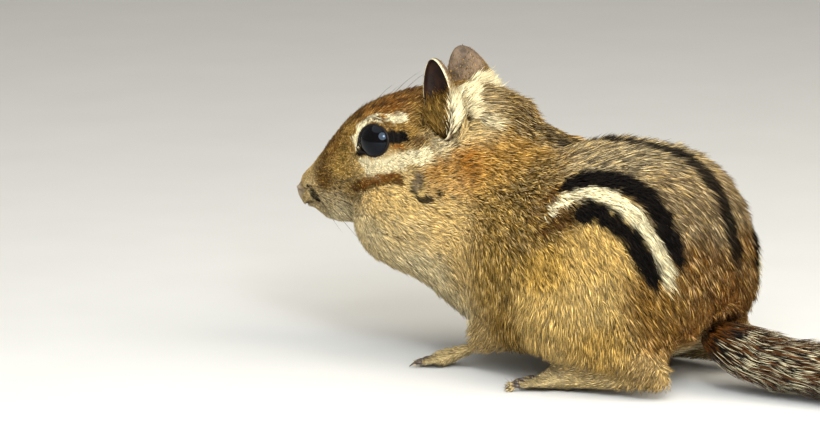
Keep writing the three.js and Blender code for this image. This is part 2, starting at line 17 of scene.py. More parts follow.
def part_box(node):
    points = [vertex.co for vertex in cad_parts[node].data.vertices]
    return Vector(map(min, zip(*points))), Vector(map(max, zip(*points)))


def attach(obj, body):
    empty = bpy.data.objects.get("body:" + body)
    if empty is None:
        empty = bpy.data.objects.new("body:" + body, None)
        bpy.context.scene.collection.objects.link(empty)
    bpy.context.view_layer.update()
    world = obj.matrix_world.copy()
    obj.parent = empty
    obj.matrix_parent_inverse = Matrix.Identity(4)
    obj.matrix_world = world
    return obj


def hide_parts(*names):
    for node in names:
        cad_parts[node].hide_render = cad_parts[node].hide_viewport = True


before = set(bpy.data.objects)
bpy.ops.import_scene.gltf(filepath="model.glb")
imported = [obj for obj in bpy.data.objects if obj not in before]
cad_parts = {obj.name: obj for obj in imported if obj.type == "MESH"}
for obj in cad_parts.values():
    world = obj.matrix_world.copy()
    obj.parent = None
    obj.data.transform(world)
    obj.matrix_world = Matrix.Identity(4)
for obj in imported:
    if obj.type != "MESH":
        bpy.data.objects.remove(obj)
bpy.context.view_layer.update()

bl_info = {
    "name": "Eastern chipmunk",
    "version": (1, 0, 0),
    "blender": (4, 5, 0),
    "location": "3D View > Sidebar > Chipmunk",
    "description": "Builds a life-size eastern chipmunk round its packed solids",
    "category": "Object",
}

MM = 0.001
UP = np.array([0.0, 0.0, 1.0])
SIDES = {"left": 1, "right": -1}

# Where things are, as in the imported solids
HEAD_YAW = math.radians(17.5)
HEAD_FORWARD = np.array([math.sin(HEAD_YAW), -math.cos(HEAD_YAW), 0.0])
HEAD_LEFT = np.array([math.cos(HEAD_YAW), math.sin(HEAD_YAW), 0.0])
NOSE_TIP = np.array([11.3, -39.3, 31.6])
EYE = {"back": 19.6, "left": 7.3, "up": 11.3, "radius": 4.3, "width": 6.6, "height": 5.9}
EAR = {"back": 32.3, "left": 10.2, "up": 20.3, "height": 16.8, "width": 9.2, "depth": 6.6, "lean": 23}


def head_point(back, left, up):
    """A place given by its distance behind, left of and above the nose tip."""
    return NOSE_TIP - back * HEAD_FORWARD + left * HEAD_LEFT + up * UP


def head_way(back, left, up):
    """A direction given along the head's own axes."""
    return -back * HEAD_FORWARD + left * HEAD_LEFT + up * UP


def unit(v):
    """Vectors made one long, along the last axis."""
    v = np.asarray(v, dtype=float)
    return v / np.maximum(np.linalg.norm(v, axis=-1, keepdims=True), 1e-9)


def eye_middle(hand):
    return head_point(EYE["back"], hand * EYE["left"], EYE["up"])


_low, _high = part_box("eye_left")
SHIFT = (np.array(_low) + np.array(_high)) / 2 / MM - eye_middle(1)


def to_frame(points):
    """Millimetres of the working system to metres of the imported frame."""
    return (np.asarray(points) + SHIFT) * MM


def from_frame(points):
    return np.asarray(points) / MM - SHIFT


def smoothstep(low, high, value):
    t = np.clip((np.asarray(value, dtype=float) - low) / (high - low), 0, 1)
    return t * t * (3 - 2 * t)


def in_head(points):
    """Distances behind, left of and above the nose tip."""
    q = points - NOSE_TIP
    return np.stack([-q @ HEAD_FORWARD, q @ HEAD_LEFT, q[:, 2]], axis=1)


def wander(points, wavelength, seed):
    """A smooth vector field without a pattern, about -1 to 1, for what varies from place to place."""
    rng = np.random.default_rng(seed)
    total = np.zeros_like(points)
    for _ in range(5):
        wave = unit(rng.normal(size=3)) * 2 * math.pi / (wavelength * rng.uniform(0.7, 1.5))
        phase = rng.uniform(0, 2 * math.pi, 3)
        total += np.sin((points @ wave)[:, None] + phase)
    return total / 2.4


# The coat, place by place
# Each place: where it is, the way the hair lies there, its length, and its share of brown, gold, pale and
# rufous over grizzled grey-brown. Head places count behind, left of and above the nose tip; body places count
# left, rear and up. Both stand for the two sides.
HEAD_PLACES = [
    ((1.5, 0.0, 2.4), (1, 0, 0.6), 0.5, (0.55, 0.4, 0.1, 0.0)),
    ((3.0, 3.2, 0.0), (1, 0.6, 0), 0.5, (0.4, 0.35, 0.25, 0.0)),
    ((6.5, 4.8, 2.0), (1, 0.3, 0.05), 1.3, (1.0, 0.05, 0.0, 0.0)),
    ((7.0, 4.6, -1.6), (1, 0.3, -0.3), 1.3, (0.5, 0.2, 0.3, 0.0)),
    ((9.5, 4.6, -4.4), (1, 0.2, -0.4), 1.3, (0.15, 0.3, 0.6, 0.0)),
    ((9.0, 2.0, -7.0), (1, 0.1, -0.2), 1.3, (0.0, 0.25, 0.75, 0.0)),
    ((5.5, 0.0, 8.0), (1, 0, 0.7), 1.0, (1.0, 0.0, 0.0, 0.0)),
    ((8.5, 4.4, 9.0), (1, 0.2, 0.4), 1.3, (0.8, 0.15, 0.0, 0.2)),
    ((12.0, 0.0, 15.3), (1, 0, 0.8), 1.8, (1.0, 0.0, 0.0, 0.05)),
    ((11.0, 6.6, 6.5), (1, 0.35, 0.1), 1.5, (0.5, 0.45, 0.0, 0.0)),
    ((12.5, 7.4, 10.0), (1, 0.3, 0.3), 1.2, (0.55, 0.4, 0.0, 0.1)),
    ((13.0, 7.8, 1.4), (1, 0.3, -0.15), 1.5, (0.7, 0.25, 0.05, 0.0)),
    ((13.5, 7.0, -3.0), (1, 0.3, -0.5), 1.6, (0.15, 0.3, 0.5, 0.0)),
    ((14.5, 8.3, 8.0), (1, 0.3, 0.0), 0.8, (0.4, 0.45, 0.1, 0.0)),
    ((16.0, 4.5, 17.4), (1, 0.1, 0.6), 1.7, (0.8, 0.05, 0.0, 0.35)),
    ((20.0, 6.0, 18.6), (1, 0.15, 0.4), 1.8, (0.7, 0.05, 0.0, 0.45)),
    ((20.0, 11.0, 5.5), (1, 0.2, -0.2), 1.1, (0.1, 0.45, 0.4, 0.1)),
    ((25.5, 11.3, 14.0), (1, 0.1, 0.3), 1.5, (0.6, 0.3, 0.0, 0.15)),
    ((28.5, 12.0, 12.0), (1, 0.15, 0.5), 1.7, (0.7, 0.25, 0.1, 0.0)),
    ((32.0, 12.9, 12.2), (1, 0.15, 0.4), 1.7, (0.3, 0.15, 0.45, 0.0)),
    ((29.3, 10.6, 15.8), (0.7, 0.25, 1.0), 2.7, (0.9, 0.2, 0.0, 0.0)),
    ((21.0, 0.0, 20.3), (1, 0, 0.4), 2.2, (0.85, 0.0, 0.0, 0.15)),
    ((30.0, 0.0, 22.0), (1, 0, 0.0), 2.4, (0.6, 0.1, 0.0, 0.2)),
    ((28.0, 6.5, 20.0), (1, 0.1, 0.2), 1.9, (0.8, 0.1, 0.0, 0.15)),
    ((21.0, 12.6, 2.5), (1, 0.2, -0.45), 1.8, (0.1, 0.8, 0.2, 0.05)),
    ((26.0, 15.6, 1.0), (1, 0.2, -0.5), 2.1, (0.0, 0.85, 0.25, 0.0)),
    ((27.0, 17.2, -4.0), (1, 0.1, -0.4), 2.6, (0.0, 0.7, 0.35, 0.0)),
    ((18.0, 12.0, -6.0), (1, 0.1, -0.5), 1.9, (0.1, 0.5, 0.45, 0.0)),
    ((27.0, 14.0, -12.0), (1, 0.0, -0.45), 2.6, (0.1, 0.4, 0.55, 0.0)),
    ((22.0, 3.0, -11.0), (1, 0, -0.3), 2.4, (0.0, 0.1, 0.95, 0.0)),
    ((34.0, 17.0, -2.0), (1, 0, -0.3), 2.9, (0.0, 0.9, 0.25, 0.1)),
    ((33.0, 15.0, 6.5), (1, 0, 0.05), 2.3, (0.05, 0.75, 0.1, 0.45)),
    ((38.0, 14.5, 9.0), (1, 0, 0.1), 2.5, (0.1, 0.6, 0.0, 0.75)),
    ((43.0, 14.3, 10.5), (1, 0, -0.1), 2.7, (0.15, 0.6, 0.0, 0.55)),
    ((49.0, 15.5, 9.5), (1, 0, -0.25), 3.0, (0.3, 0.5, 0.0, 0.35)),
    ((40.0, 16.5, -6.0), (1, 0, -0.3), 3.0, (0.1, 0.75, 0.2, 0.1)),
    ((36.5, 12.0, 15.5), (1, 0.1, 0.3), 2.2, (0.1, 0.7, 0.3, 0.0)),
    ((36.8, 8.8, 20.3), (1, 0.15, 0.35), 3.2, (0.3, 0.1, 0.4, 0.0)),
    ((41.8, 10.6, 16.8), (1, 0.1, -0.1), 3.6, (0.3, 0.3, 0.35, 0.0)),
    ((38.0, 3.5, 21.3), (1, 0.1, 0.0), 3.0, (0.35, 0.1, 0.1, 0.0)),
    ((44.0, 0.0, 18.5), (1, 0, -0.1), 2.6, (0.35, 0.05, 0.0, 0.0)),
    ((46.0, 14.0, 6.0), (1, 0, -0.3), 3.0, (0.3, 0.6, 0.0, 0.1)),
]
BODY_PLACES = [
    ((0.0, 8.0, 47.0), (0, 1, -0.25), 2.7, (0.3, 0.05, 0.0, 0.0)),
    ((12.0, 10.0, 42.0), (0.1, 1, -0.2), 2.9, (0.35, 0.45, 0.0, 0.3)),
    ((0.0, 20.0, 45.5), (0, 1, 0.12), 3.8, (0.1, 0.05, 0.1, 0.0)),
    ((15.0, 14.7, 38.8), (0.1, 0.9, -0.3), 3.3, (0.4, 0.15, 0.0, 0.0)),
    ((20.5, 19.0, 30.3), (0.1, 0.85, -0.5), 3.4, (0.55, 0.2, 0.0, 0.0)),
    ((19.0, 12.0, 32.0), (0.1, 0.85, -0.5), 3.2, (0.5, 0.3, 0.0, 0.0)),
    ((20.0, 12.0, 22.0), (0, 0.4, -0.9), 3.0, (0.5, 0.35, 0.0, 0.0)),
    ((18.0, 16.0, 12.0), (0, 0.1, -1), 2.8, (0.4, 0.4, 0.0, 0.1)),
    ((15.0, 8.0, 9.0), (-0.1, -0.6, -0.8), 2.2, (0.15, 0.6, 0.2, 0.1)),
    ((12.5, 1.0, 4.5), (0, -1, -0.3), 1.5, (0.15, 0.55, 0.3, 0.0)),
    ((12.5, -5.0, 2.0), (0, -1, -0.1), 1.1, (0.15, 0.5, 0.35, 0.0)),
    ((10.0, 4.0, 12.0), (-0.1, 0.2, -1), 2.2, (0.0, 0.3, 0.7, 0.0)),
    ((0.0, -10.0, 18.0), (0, 0.6, -0.8), 2.8, (0.0, 0.1, 0.95, 0.0)),
    ((0.0, 0.0, 8.0), (0, 1, -0.1), 3.0, (0.0, 0.1, 0.95, 0.0)),
    ((0.0, 26.0, 6.5), (0, 1, 0), 3.2, (0.0, 0.1, 0.95, 0.0)),
    ((12.0, 24.0, 8.0), (0, 1, -0.2), 2.8, (0.0, 0.3, 0.8, 0.0)),
    ((10.0, 30.0, 43.5), (0, 1, 0.12), 3.9, (0.0, 0.0, 0.1, 0.0)),
    ((0.0, 35.0, 45.5), (0, 1, 0.1), 4.0, (0.0, 0.0, 0.1, 0.0)),
    ((19.0, 22.0, 33.0), (0.05, 1, -0.3), 3.6, (0.6, 0.1, 0.0, 0.05)),
    ((21.0, 24.0, 25.0), (0, 0.75, -0.65), 3.6, (0.15, 0.75, 0.0, 0.1)),
    ((21.5, 34.0, 28.0), (0, 0.75, -0.65), 3.6, (0.0, 0.9, 0.12, 0.08)),
    ((21.5, 36.0, 20.0), (0, 0.4, -0.9), 3.6, (0.0, 0.9, 0.2, 0.0)),
    ((21.0, 26.0, 15.0), (0, 0.1, -1), 3.2, (0.05, 0.85, 0.15, 0.0)),
    ((20.5, 38.0, 11.0), (0, 0.1, -1), 3.2, (0.2, 0.75, 0.05, 0.1)),
    ((19.0, 47.0, 20.0), (-0.1, 0.6, -0.8), 3.8, (0.4, 0.35, 0.0, 0.3)),
    ((16.0, 50.0, 12.0), (-0.1, 0.6, -0.8), 3.6, (0.35, 0.3, 0.0, 0.4)),
    ((8.0, 48.0, 38.0), (0, 0.8, -0.6), 3.9, (0.15, 0.05, 0.1, 0.1)),
    ((0.0, 50.0, 36.0), (0, 0.8, -0.6), 4.0, (0.15, 0.05, 0.1, 0.1)),
    ((8.0, 52.5, 26.0), (0, 0.35, -0.9), 3.8, (0.3, 0.1, 0.0, 0.3)),
    ((0.0, 53.0, 18.0), (0, 0.05, -1), 2.8, (0.3, 0.1, 0.0, 0.5)),
    ((6.0, 49.0, 7.0), (0, 1, -0.1), 3.4, (0.4, 0.2, 0.0, 0.5)),
    ((0.0, 46.0, 6.0), (0, 1, 0.0), 3.2, (0.3, 0.2, 0.2, 0.2)),
    ((0.0, 38.0, 6.0), (0, 1, 0.0), 3.2, (0.0, 0.2, 0.8, 0.0)),
    ((17.0, 48.0, 5.0), (0, -0.4, -0.9), 2.0, (0.2, 0.5, 0.15, 0.15)),
    ((18.0, 36.0, 4.5), (0, -1, -0.1), 1.6, (0.15, 0.55, 0.3, 0.0)),
    ((18.8, 25.0, 2.4), (0, -1, -0.1), 1.1, (0.15, 0.5, 0.35, 0.0)),
    ((6.0, 54.0, 13.0), (0, 0.1, -1), 2.4, (0.35, 0.15, 0.0, 0.5)),
    ((0.0, 55.0, 13.0), (0, 0.25, -1), 2.4, (0.3, 0.1, 0.0, 0.5)),
    ((0.0, 62.0, 8.5), (0, 1, -0.2), 4.5, (0.3, 0.1, 0.0, 0.5)),
]
# Dark and pale lines along the back: points down the middle of each, half its width, and how much of its
# colour it takes. Left side.
BODY_STRIPES = {
    "flank_pale": ("pale", 2.0, 1.0, [(20.1, 24.0, 33.2), (19.1, 25.1, 35.8), (18.2, 28.0, 37.8),
                                       (17.3, 31.5, 39.0), (17.3, 35.9, 38.4), (17.3, 40.0, 36.9),
                                       (17.1, 43.2, 34.9), (17.0, 45.6, 32.5), (16.7, 48.0, 29.0),
                                       (16.3, 49.6, 25.4), (15.4, 50.8, 20.2)]),
    "upper_brown": ("brown", 1.7, 0.9, [(18.9, 22.5, 36.2), (17.8, 25.5, 38.2), (16.4, 27.2, 39.9)]),
    "upper_dark": ("dark", 2.35, 1.0, [(17.8, 25.5, 38.0), (16.4, 27.2, 39.9), (15.3, 30.0, 41.0),
                                      (14.9, 33.4, 41.2), (14.3, 37.4, 41.0), (13.8, 41.3, 39.8),
                                      (13.8, 44.0, 38.2), (13.9, 46.0, 35.9), (13.9, 47.8, 33.1),
                                      (13.5, 49.7, 29.8), (12.9, 51.0, 25.5)]),
    "lower_brown": ("brown", 1.8, 0.9, [(20.9, 22.5, 30.0), (20.6, 25.5, 31.6), (20.0, 29.0, 34.0),
                                        (19.3, 32.8, 35.2)]),
    "lower_dark": ("dark", 2.3, 1.0, [(20.0, 28.5, 34.2), (19.3, 32.8, 35.8), (19.3, 36.2, 35.2),
                                      (19.3, 39.6, 33.9), (19.1, 42.7, 32.2), (19.1, 44.7, 29.7),
                                      (18.9, 46.7, 26.4), (18.0, 48.4, 22.0)]),
}
# One line along the middle of the back, on the side it bends to: left, rear and up
MIDDLE_STRIPE = [(0.1, 8.0, 47.5), (-0.2, 16.0, 45.6), (-0.6, 24.0, 45.5), (-1.4, 31.0, 45.5),
                 (-2.0, 38.0, 44.7), (-2.2, 42.0, 43.4), (-2.3, 46.7, 40.3), (-2.5, 50.4, 35.5),
                 (-2.7, 52.6, 29.9), (-2.8, 53.8, 24.0)]
MIDDLE_HALF_WIDTH = 2.5
MIDDLE_STRENGTH = 0.95
MIDDLE_FROM = 20  # no stripe nearer the back's centre than this
BACK_CENTRE = (22.0, 15.0)  # rear and up, for angles round the trunk seen from its side
LEAN = math.radians(10)  # how far the back leans to the right
TRUNK_HEIGHT = 24  # of the trunk's middle over the floor
# The same on the head, behind, left of and above the nose tip
HEAD_STRIPES = {
    "cheek_shade": ("brown", 1.4, 0.95, [(13.5, 8.6, 2.2), (17.5, 11.0, 2.8), (21.5, 12.7, 4.2),
                                         (26.5, 14.0, 6.0)]),
    "cheek_streak": ("rufous", 0.8, 0.4, [(15.5, 9.8, 2.9), (18.5, 11.5, 3.8), (22.0, 12.9, 5.0),
                                           (26.7, 13.9, 6.6)]),
    "ear_streak": ("rufous", 2.2, 0.55, [(30.5, 14.4, 6.0), (36.0, 14.6, 9.0), (40.5, 14.4, 10.8)]),
    "eye_line": ("rufous", 0.55, 0.7, [(22.0, 10.9, 10.6), (25.5, 11.7, 10.9), (28.5, 12.2, 11.2)]),
    "temple": ("brown", 1.0, 0.8, [(25.0, 11.1, 12.4), (29.5, 12.1, 12.6)]),
    "brow_pale": ("pale", 1.15, 1.0, [(14.9, 9.0, 9.6), (14.8, 8.7, 11.6), (15.5, 8.4, 13.4),
                                      (16.9, 8.4, 14.8), (18.9, 8.5, 15.5), (21.1, 8.7, 15.9),
                                      (23.3, 8.9, 15.9), (25.4, 9.4, 15.4)]),
    "under_eye_pale": ("pale", 1.7, 0.85, [(16.0, 9.8, 7.1), (17.8, 10.6, 6.6), (20.1, 11.2, 6.7),
                                           (22.6, 11.8, 7.6), (24.8, 12.1, 8.4), (27.4, 12.7, 9.1),
                                           (30.0, 13.2, 9.7), (31.8, 13.4, 10.3)]),
    "eye_streak": ("dark", 1.25, 1.0, [(20.8, 9.6, 12.5), (23.1, 10.5, 12.6), (25.8, 11.1, 12.3)]),
    "eye_corner": ("dark", 0.9, 1.0, [(17.2, 9.8, 9.6), (15.6, 9.4, 8.6), (14.9, 9.1, 8.2)]),
    "snout_streak": ("dark", 0.45, 0.5, [(6.5, 4.9, 5.4), (10.0, 6.4, 8.6), (13.4, 7.6, 10.3)]),
    "crown_streak": ("dark", 0.9, 0.6, [(5.0, 2.2, 7.2), (9.0, 3.6, 12.0), (14.6, 4.4, 16.4),
                                        (21.0, 4.8, 19.4), (27.0, 5.2, 20.9)]),
    "crown_middle": ("dark", 2.4, 0.4, [(5.0, 0.0, 7.4), (12.0, 0.0, 15.6), (20.0, 0.0, 20.0),
                                        (30.0, 0.0, 22.0), (38.0, 0.0, 21.0)]),
    # Ear opening: painted shade in the hollow below the ear
    "ear_opening_shade": ("dark", 0.6, 1.0, [(35.0, 13.4, 15.4), (35.3, 13.5, 14.3), (35.6, 13.3, 13.1),
                                    (36.4, 13.7, 11.2)]),
    "nape_pale": ("pale", 1.7, 0.7, [(37.2, 9.6, 18.9), (40.0, 9.8, 17.9), (42.8, 9.8, 16.9),
                                     (45.0, 9.7, 16.3)]),
    # Nostrils and the comma of each nose wing: dark lines of painted shade in their openings
    "nostril": ("dark", 0.55, 0.95, [(0.7, 1.2, -0.8), (1.5, 2.2, -0.6), (2.9, 3.3, 0.2)]),
    "nose_wing_shade": ("dark", 0.75, 1.0, [(3.0, 3.5, 1.0), (4.1, 4.1, -0.1), (5.0, 4.35, -1.4),
                                      (5.8, 4.2, -2.6)]),
    # Mouth: a dark line of painted shade in the crease between the lips
    "mouth": ("dark", 0.4, 0.8, [(1.6, 0.0, -3.2), (3.4, 2.6, -2.4), (6.0, 4.3, -2.6), (9.0, 5.0, -3.8),
                                 (12.0, 5.6, -5.2)]),
}
NOSE_PAD = {"middle": (0.9, 0.0, -0.4), "half": (2.4, 3.2, 2.3)}
NOSTRIL = {"back": 0.9, "left": 1.45, "up": -0.7}
NOSE_WING = HEAD_STRIPES["nose_wing_shade"][3]
NOSTRIL_SLIT = HEAD_STRIPES["nostril"][3]
MOUTH_LINE = HEAD_STRIPES["mouth"][3]
# Whiskers stand in four rows
WHISKER_ROOTS = [
    (6.4 + 1.5 * column, 4.75 + 0.55 * column, 1.2 - 1.05 * row) for row in range(4) for column in range(4)
]
# A bald spot on the left cheek with a fold under it, darkened with painted shade
BALD_SPOT = {"middle": (28.8, 14.8, 4.9), "half": (1.6, 2.2, 2.1)}
BALD_ROOTS = {"middle": (28.1, 14.7, 5.2), "half": (1.6, 2.2, 1.8)}
CHEEK_FOLD = [(26.8, 15.0, 4.9), (27.8, 15.5, 3.6), (28.6, 16.0, 2.6), (29.6, 16.2, 2.0), (31.1, 16.2, 1.8),
              (32.6, 16.0, 2.2), (34.0, 15.7, 3.1), (35.2, 15.5, 4.0)]


def by_place(points, places):
    """Lie, length and colour shares at points, as a mix of the nearest places."""
    where = np.array([p[0] for p in places])
    facts = np.array([(*unit(p[1]), p[2], *p[3]) for p in places])
    result = np.empty((len(points), facts.shape[1]))
    for start in range(0, len(points), 50000):
        part = points[start:start + 50000]
        distance2 = ((part[:, None, :] - where[None]) ** 2).sum(axis=2)
        weight = 1 / (distance2 + 3.0) ** 2.4
        result[start:start + 50000] = weight @ facts / weight.sum(axis=1)[:, None]
    return result


def head_share(points):
    """1 on the head, 0 on the body, and between them at the nape and throat."""
    q = in_head(points)
    return (1 - smoothstep(37, 46, q[:, 0])) * smoothstep(-21, -15, q[:, 2])


def coat_at(points):
    """The way the hair lies, its length, and the shares of its four colours."""
    side = np.where(points[:, 0] < 0, -1.0, 1.0)
    body = by_place(np.abs(points * [1, 0, 0]) + points * [0, 1, 1], BODY_PLACES)
    body[:, 0] *= side
    q = in_head(points)
    head_side = np.where(q[:, 1] < 0, -1.0, 1.0)
    head = by_place(np.stack([q[:, 0], np.abs(q[:, 1]), q[:, 2]], axis=1), HEAD_PLACES)
    head_lie = (
        -head[:, :1] * HEAD_FORWARD + (head[:, 1] * head_side)[:, None] * HEAD_LEFT + head[:, 2:3] * UP
    )
    share = head_share(points)[:, None]
    lie = head_lie * share + body[:, :3] * (1 - share)
    rest = head[:, 3:] * share + body[:, 3:] * (1 - share)
    return unit(lie), rest[:, 0], rest[:, 1:]


def near_line(points, line, half_width):
    """1 on a line of points and 0 beyond its half width, which tapers at both ends."""
    line = np.array(line)
    lengths = np.linalg.norm(np.diff(line, axis=0), axis=1)
    reached = np.concatenate([[0], np.cumsum(lengths)]) / lengths.sum()
    best = np.full(len(points), 9.0)
    for n in range(len(line) - 1):
        step = line[n + 1] - line[n]
        t = np.clip((points - line[n]) @ step / (step @ step), 0, 1)
        away = np.linalg.norm(points - line[n] - t[:, None] * step, axis=1)
        along = reached[n] + t * (reached[n + 1] - reached[n])
        taper = np.clip(6 * along * (1 - along) + 0.35, 0, 1)
        best = np.minimum(best, away / (half_width * taper))
    return 1 - smoothstep(0.75, 1.25, best)


def middle_stripe(points):
    """1 on the line along the middle of the back, measured only sideways."""
    line = np.array(MIDDLE_STRIPE)
    rear, up = BACK_CENTRE
    angle = np.arctan2(points[:, 1] - rear, points[:, 2] - up)
    angles = np.arctan2(line[:, 1] - rear, line[:, 2] - up)
    apart = np.abs(points[:, 0] - np.interp(angle, angles, line[:, 0])) / MIDDLE_HALF_WIDTH
    begun = smoothstep(angles[0] - 0.1, angles[0] + 0.25, angle)
    unended = smoothstep(angles[-1] + 0.15, angles[-1] - 0.1, angle)
    outside = np.hypot(points[:, 1] - rear, points[:, 2] - up) > MIDDLE_FROM
    return MIDDLE_STRENGTH * (1 - smoothstep(0.65, 1.25, apart)) * (begun * unended) * outside


Marks = namedtuple("Marks", "brown gold pale rufous dark bare")


def as_left(points):
    """Places on the body as the same places on its left side, mirrored where its back leans."""
    over = points[:, 2] - TRUNK_HEIGHT
    lean = -LEAN * smoothstep(10, 30, points[:, 1])
    angle, radius = np.arctan2(points[:, 0], over), np.hypot(points[:, 0], over)
    angle = np.where(angle < lean, 2 * lean - angle, angle)
    return np.stack([radius * np.sin(angle), points[:, 1], TRUNK_HEIGHT + radius * np.cos(angle)], axis=1)


def marks_at(points, shares):
    """The coat's colours at points on its outside: brown, gold, pale, rufous, dark and bare skin."""
    brown, gold, pale, rufous = shares.T.copy()
    dark = np.zeros(len(points))
    on_nose = 1 - smoothstep(4, 11, in_head(points)[:, 0])
    ragged = points + (0.38 - 0.3 * on_nose)[:, None] * wander(points, 2.2, 11)
    body = as_left(ragged)
    q = in_head(ragged)
    head = np.stack([q[:, 0], np.abs(q[:, 1]), q[:, 2]], axis=1)
    lines = [(body, *stripe) for stripe in BODY_STRIPES.values()]
    lines += [(head, *stripe) for stripe in HEAD_STRIPES.values()]
    for place, kind, half_width, strength, line in lines:
        mask = strength * near_line(place, line, half_width)
        if kind == "pale":
            pale = np.maximum(pale, mask)
            dark, rufous = dark * (1 - mask), rufous * (1 - mask)
        elif kind == "dark":
            dark = np.maximum(dark, mask)
        elif kind == "brown":
            brown = np.maximum(brown, mask)
            gold, pale, rufous = gold * (1 - mask), pale * (1 - mask), rufous * (1 - mask)
        else:
            rufous = np.maximum(rufous, mask)
            pale = pale * (1 - mask)
    dark = np.maximum(dark, middle_stripe(ragged))
    for root in WHISKER_ROOTS:
        dark = np.maximum(dark, 0.8 * (1 - smoothstep(0.15, 0.4, np.linalg.norm(head - root, axis=1))))
    q = in_head(points)
    bare = 1 - smoothstep(0.8, 1.05, from_middle(q, NOSE_PAD))
    bald = 1 - smoothstep(0.6, 1.2, from_middle(in_head(ragged), BALD_SPOT))
    dark = np.maximum(dark, 0.8 * bald)
    # Painted shade in the fold under the bald spot
    dark = np.maximum(dark, 0.92 * near_line(in_head(ragged), CHEEK_FOLD, 0.75))
    patch = smoothstep(-0.5, 0.6, wander(points, 1.6, 21)[:, 0])
    return Marks(brown, gold, pale, rufous, dark, np.maximum(bare, (0.2 + 0.35 * patch) * bald))


def from_middle(places, oval):
    """How far places are from an oval's middle: 1 on its edge."""
    return np.linalg.norm((places - np.array(oval["middle"])) / np.array(oval["half"]), axis=1)


# Colours and finishes
def linear(text):
    """A colour written as six hex digits, in Blender's linear values."""
    parts = [int(text[n:n + 2], 16) / 255 for n in (0, 2, 4)]
    return tuple(p / 12.92 if p <= 0.04045 else ((p + 0.055) / 1.055) ** 2.4 for p in parts)


def colour_property(name, description, text):
    return bpy.props.FloatVectorProperty(
        name=name, description=description, subtype="COLOR", size=3, min=0, max=1, default=linear(text)
    )


class ChipmunkColours(bpy.types.PropertyGroup):
    """Colours of the coat and skin."""

    grizzle_dark: colour_property("Grizzle, dark", "Dark hairs of the back", "3a2916")
    grizzle_pale: colour_property("Grizzle, pale", "Pale bands on the hairs of the back", "c6b084")
    brown: colour_property("Brown", "Crown, snout and shoulders", "56360e")
    gold: colour_property("Gold", "Cheeks and haunches", "ddb254")
    pale: colour_property("Pale", "Pale stripes, throat and belly", "f0e2b8")
    rufous: colour_property("Rufous", "Rump and the streak under the eye", "985714")
    dark: colour_property("Dark", "Dark stripes", "120e0b")
    nose: colour_property("Nose", "Bare skin of the nose", "94836c")
    # The ears' inside colour is painted dark for the shade in their hollow
    ear: colour_property("Ear", "Inside of the ears", "2c1709")
    ear_back: colour_property("Ear back", "Back of the ears", "7a6652")
    claw: colour_property("Claws", "Horn of the claws", "3a2f28")
    whisker: colour_property("Whiskers", "Whiskers", "15110e")


class ChipmunkSizes(bpy.types.PropertyGroup):
    """Sizes of the skin and coat."""

    skin_grain: bpy.props.FloatProperty(
        name="Skin grain", description="Size of the skin's faces", default=0.6 * MM, unit="LENGTH"
    )
    coat_depth: bpy.props.FloatProperty(
        name="Coat depth", description="How deep under the coat's tips the skin lies, as a share of the hair",
        default=0.44, subtype="FACTOR",
    )
    hair_width: bpy.props.FloatProperty(
        name="Hair width", description="Half width of a blade of hair 3 mm long", default=0.125 * MM,
        unit="LENGTH",
    )


def settings():
    return bpy.context.scene.chipmunk_sizes, bpy.context.scene.chipmunk_colours


def node(tree, kind, inputs=None, **values):
    """A new node with its values and plain inputs set; an input that is a socket is linked."""
    made = tree.nodes.new(kind)
    for name, value in values.items():
        setattr(made, name, value)
    for name, value in (inputs or {}).items():
        if isinstance(value, bpy.types.NodeSocket):
            tree.links.new(value, made.inputs[name])
        else:
            made.inputs[name].default_value = value
    return made


def mixed(tree, share, a, b, blend="MIX"):
    made = tree.nodes.new("ShaderNodeMix")
    made.data_type, made.blend_type = "RGBA", blend
    for socket, value in ((made.inputs[0], share), (made.inputs[6], a), (made.inputs[7], b)):
        if isinstance(value, bpy.types.NodeSocket):
            tree.links.new(value, socket)
        elif isinstance(value, float):
            socket.default_value = value
        else:
            socket.default_value = (*value[:3], 1)
    return made.outputs[2]


def ranged(tree, value, low, high, to_low=0.0, to_high=1.0):
    inputs = {"Value": value, "From Min": low, "From Max": high, "To Min": to_low, "To Max": to_high}
    return node(tree, "ShaderNodeMapRange", inputs).outputs["Result"]


def multiplied(tree, a, b):
    return node(tree, "ShaderNodeMath", {0: a, 1: b}, operation="MULTIPLY").outputs[0]


def noise(tree, scale, detail=2.0):
    """Unevenness over the object, about 0.3 to 0.7."""
    place = node(tree, "ShaderNodeTexCoord")
    inputs = {"Vector": place.outputs["Object"], "Scale": scale, "Detail": detail}
    return node(tree, "ShaderNodeTexNoise", inputs).outputs["Fac"]


def attribute_parts(tree, name):
    """The three columns of a colour attribute."""
    read = node(tree, "ShaderNodeAttribute", attribute_name=name)
    return node(tree, "ShaderNodeSeparateColor", {"Color": read.outputs["Color"]}).outputs[:3]


def set_bump(tree, shader, height, strength):
    inputs = {"Height": height, "Strength": strength, "Distance": 0.0002}
    tree.links.new(node(tree, "ShaderNodeBump", inputs).outputs["Normal"], shader.inputs["Normal"])


def set_mottled(tree, shader, scale, one, other):
    """The base colour wanders between two colours."""
    tree.links.new(mixed(tree, noise(tree, scale), one, other), shader.inputs["Base Color"])


COAT_COLOURS = ("grizzle_dark", "grizzle_pale", "brown", "gold", "pale", "rufous", "dark", "nose")


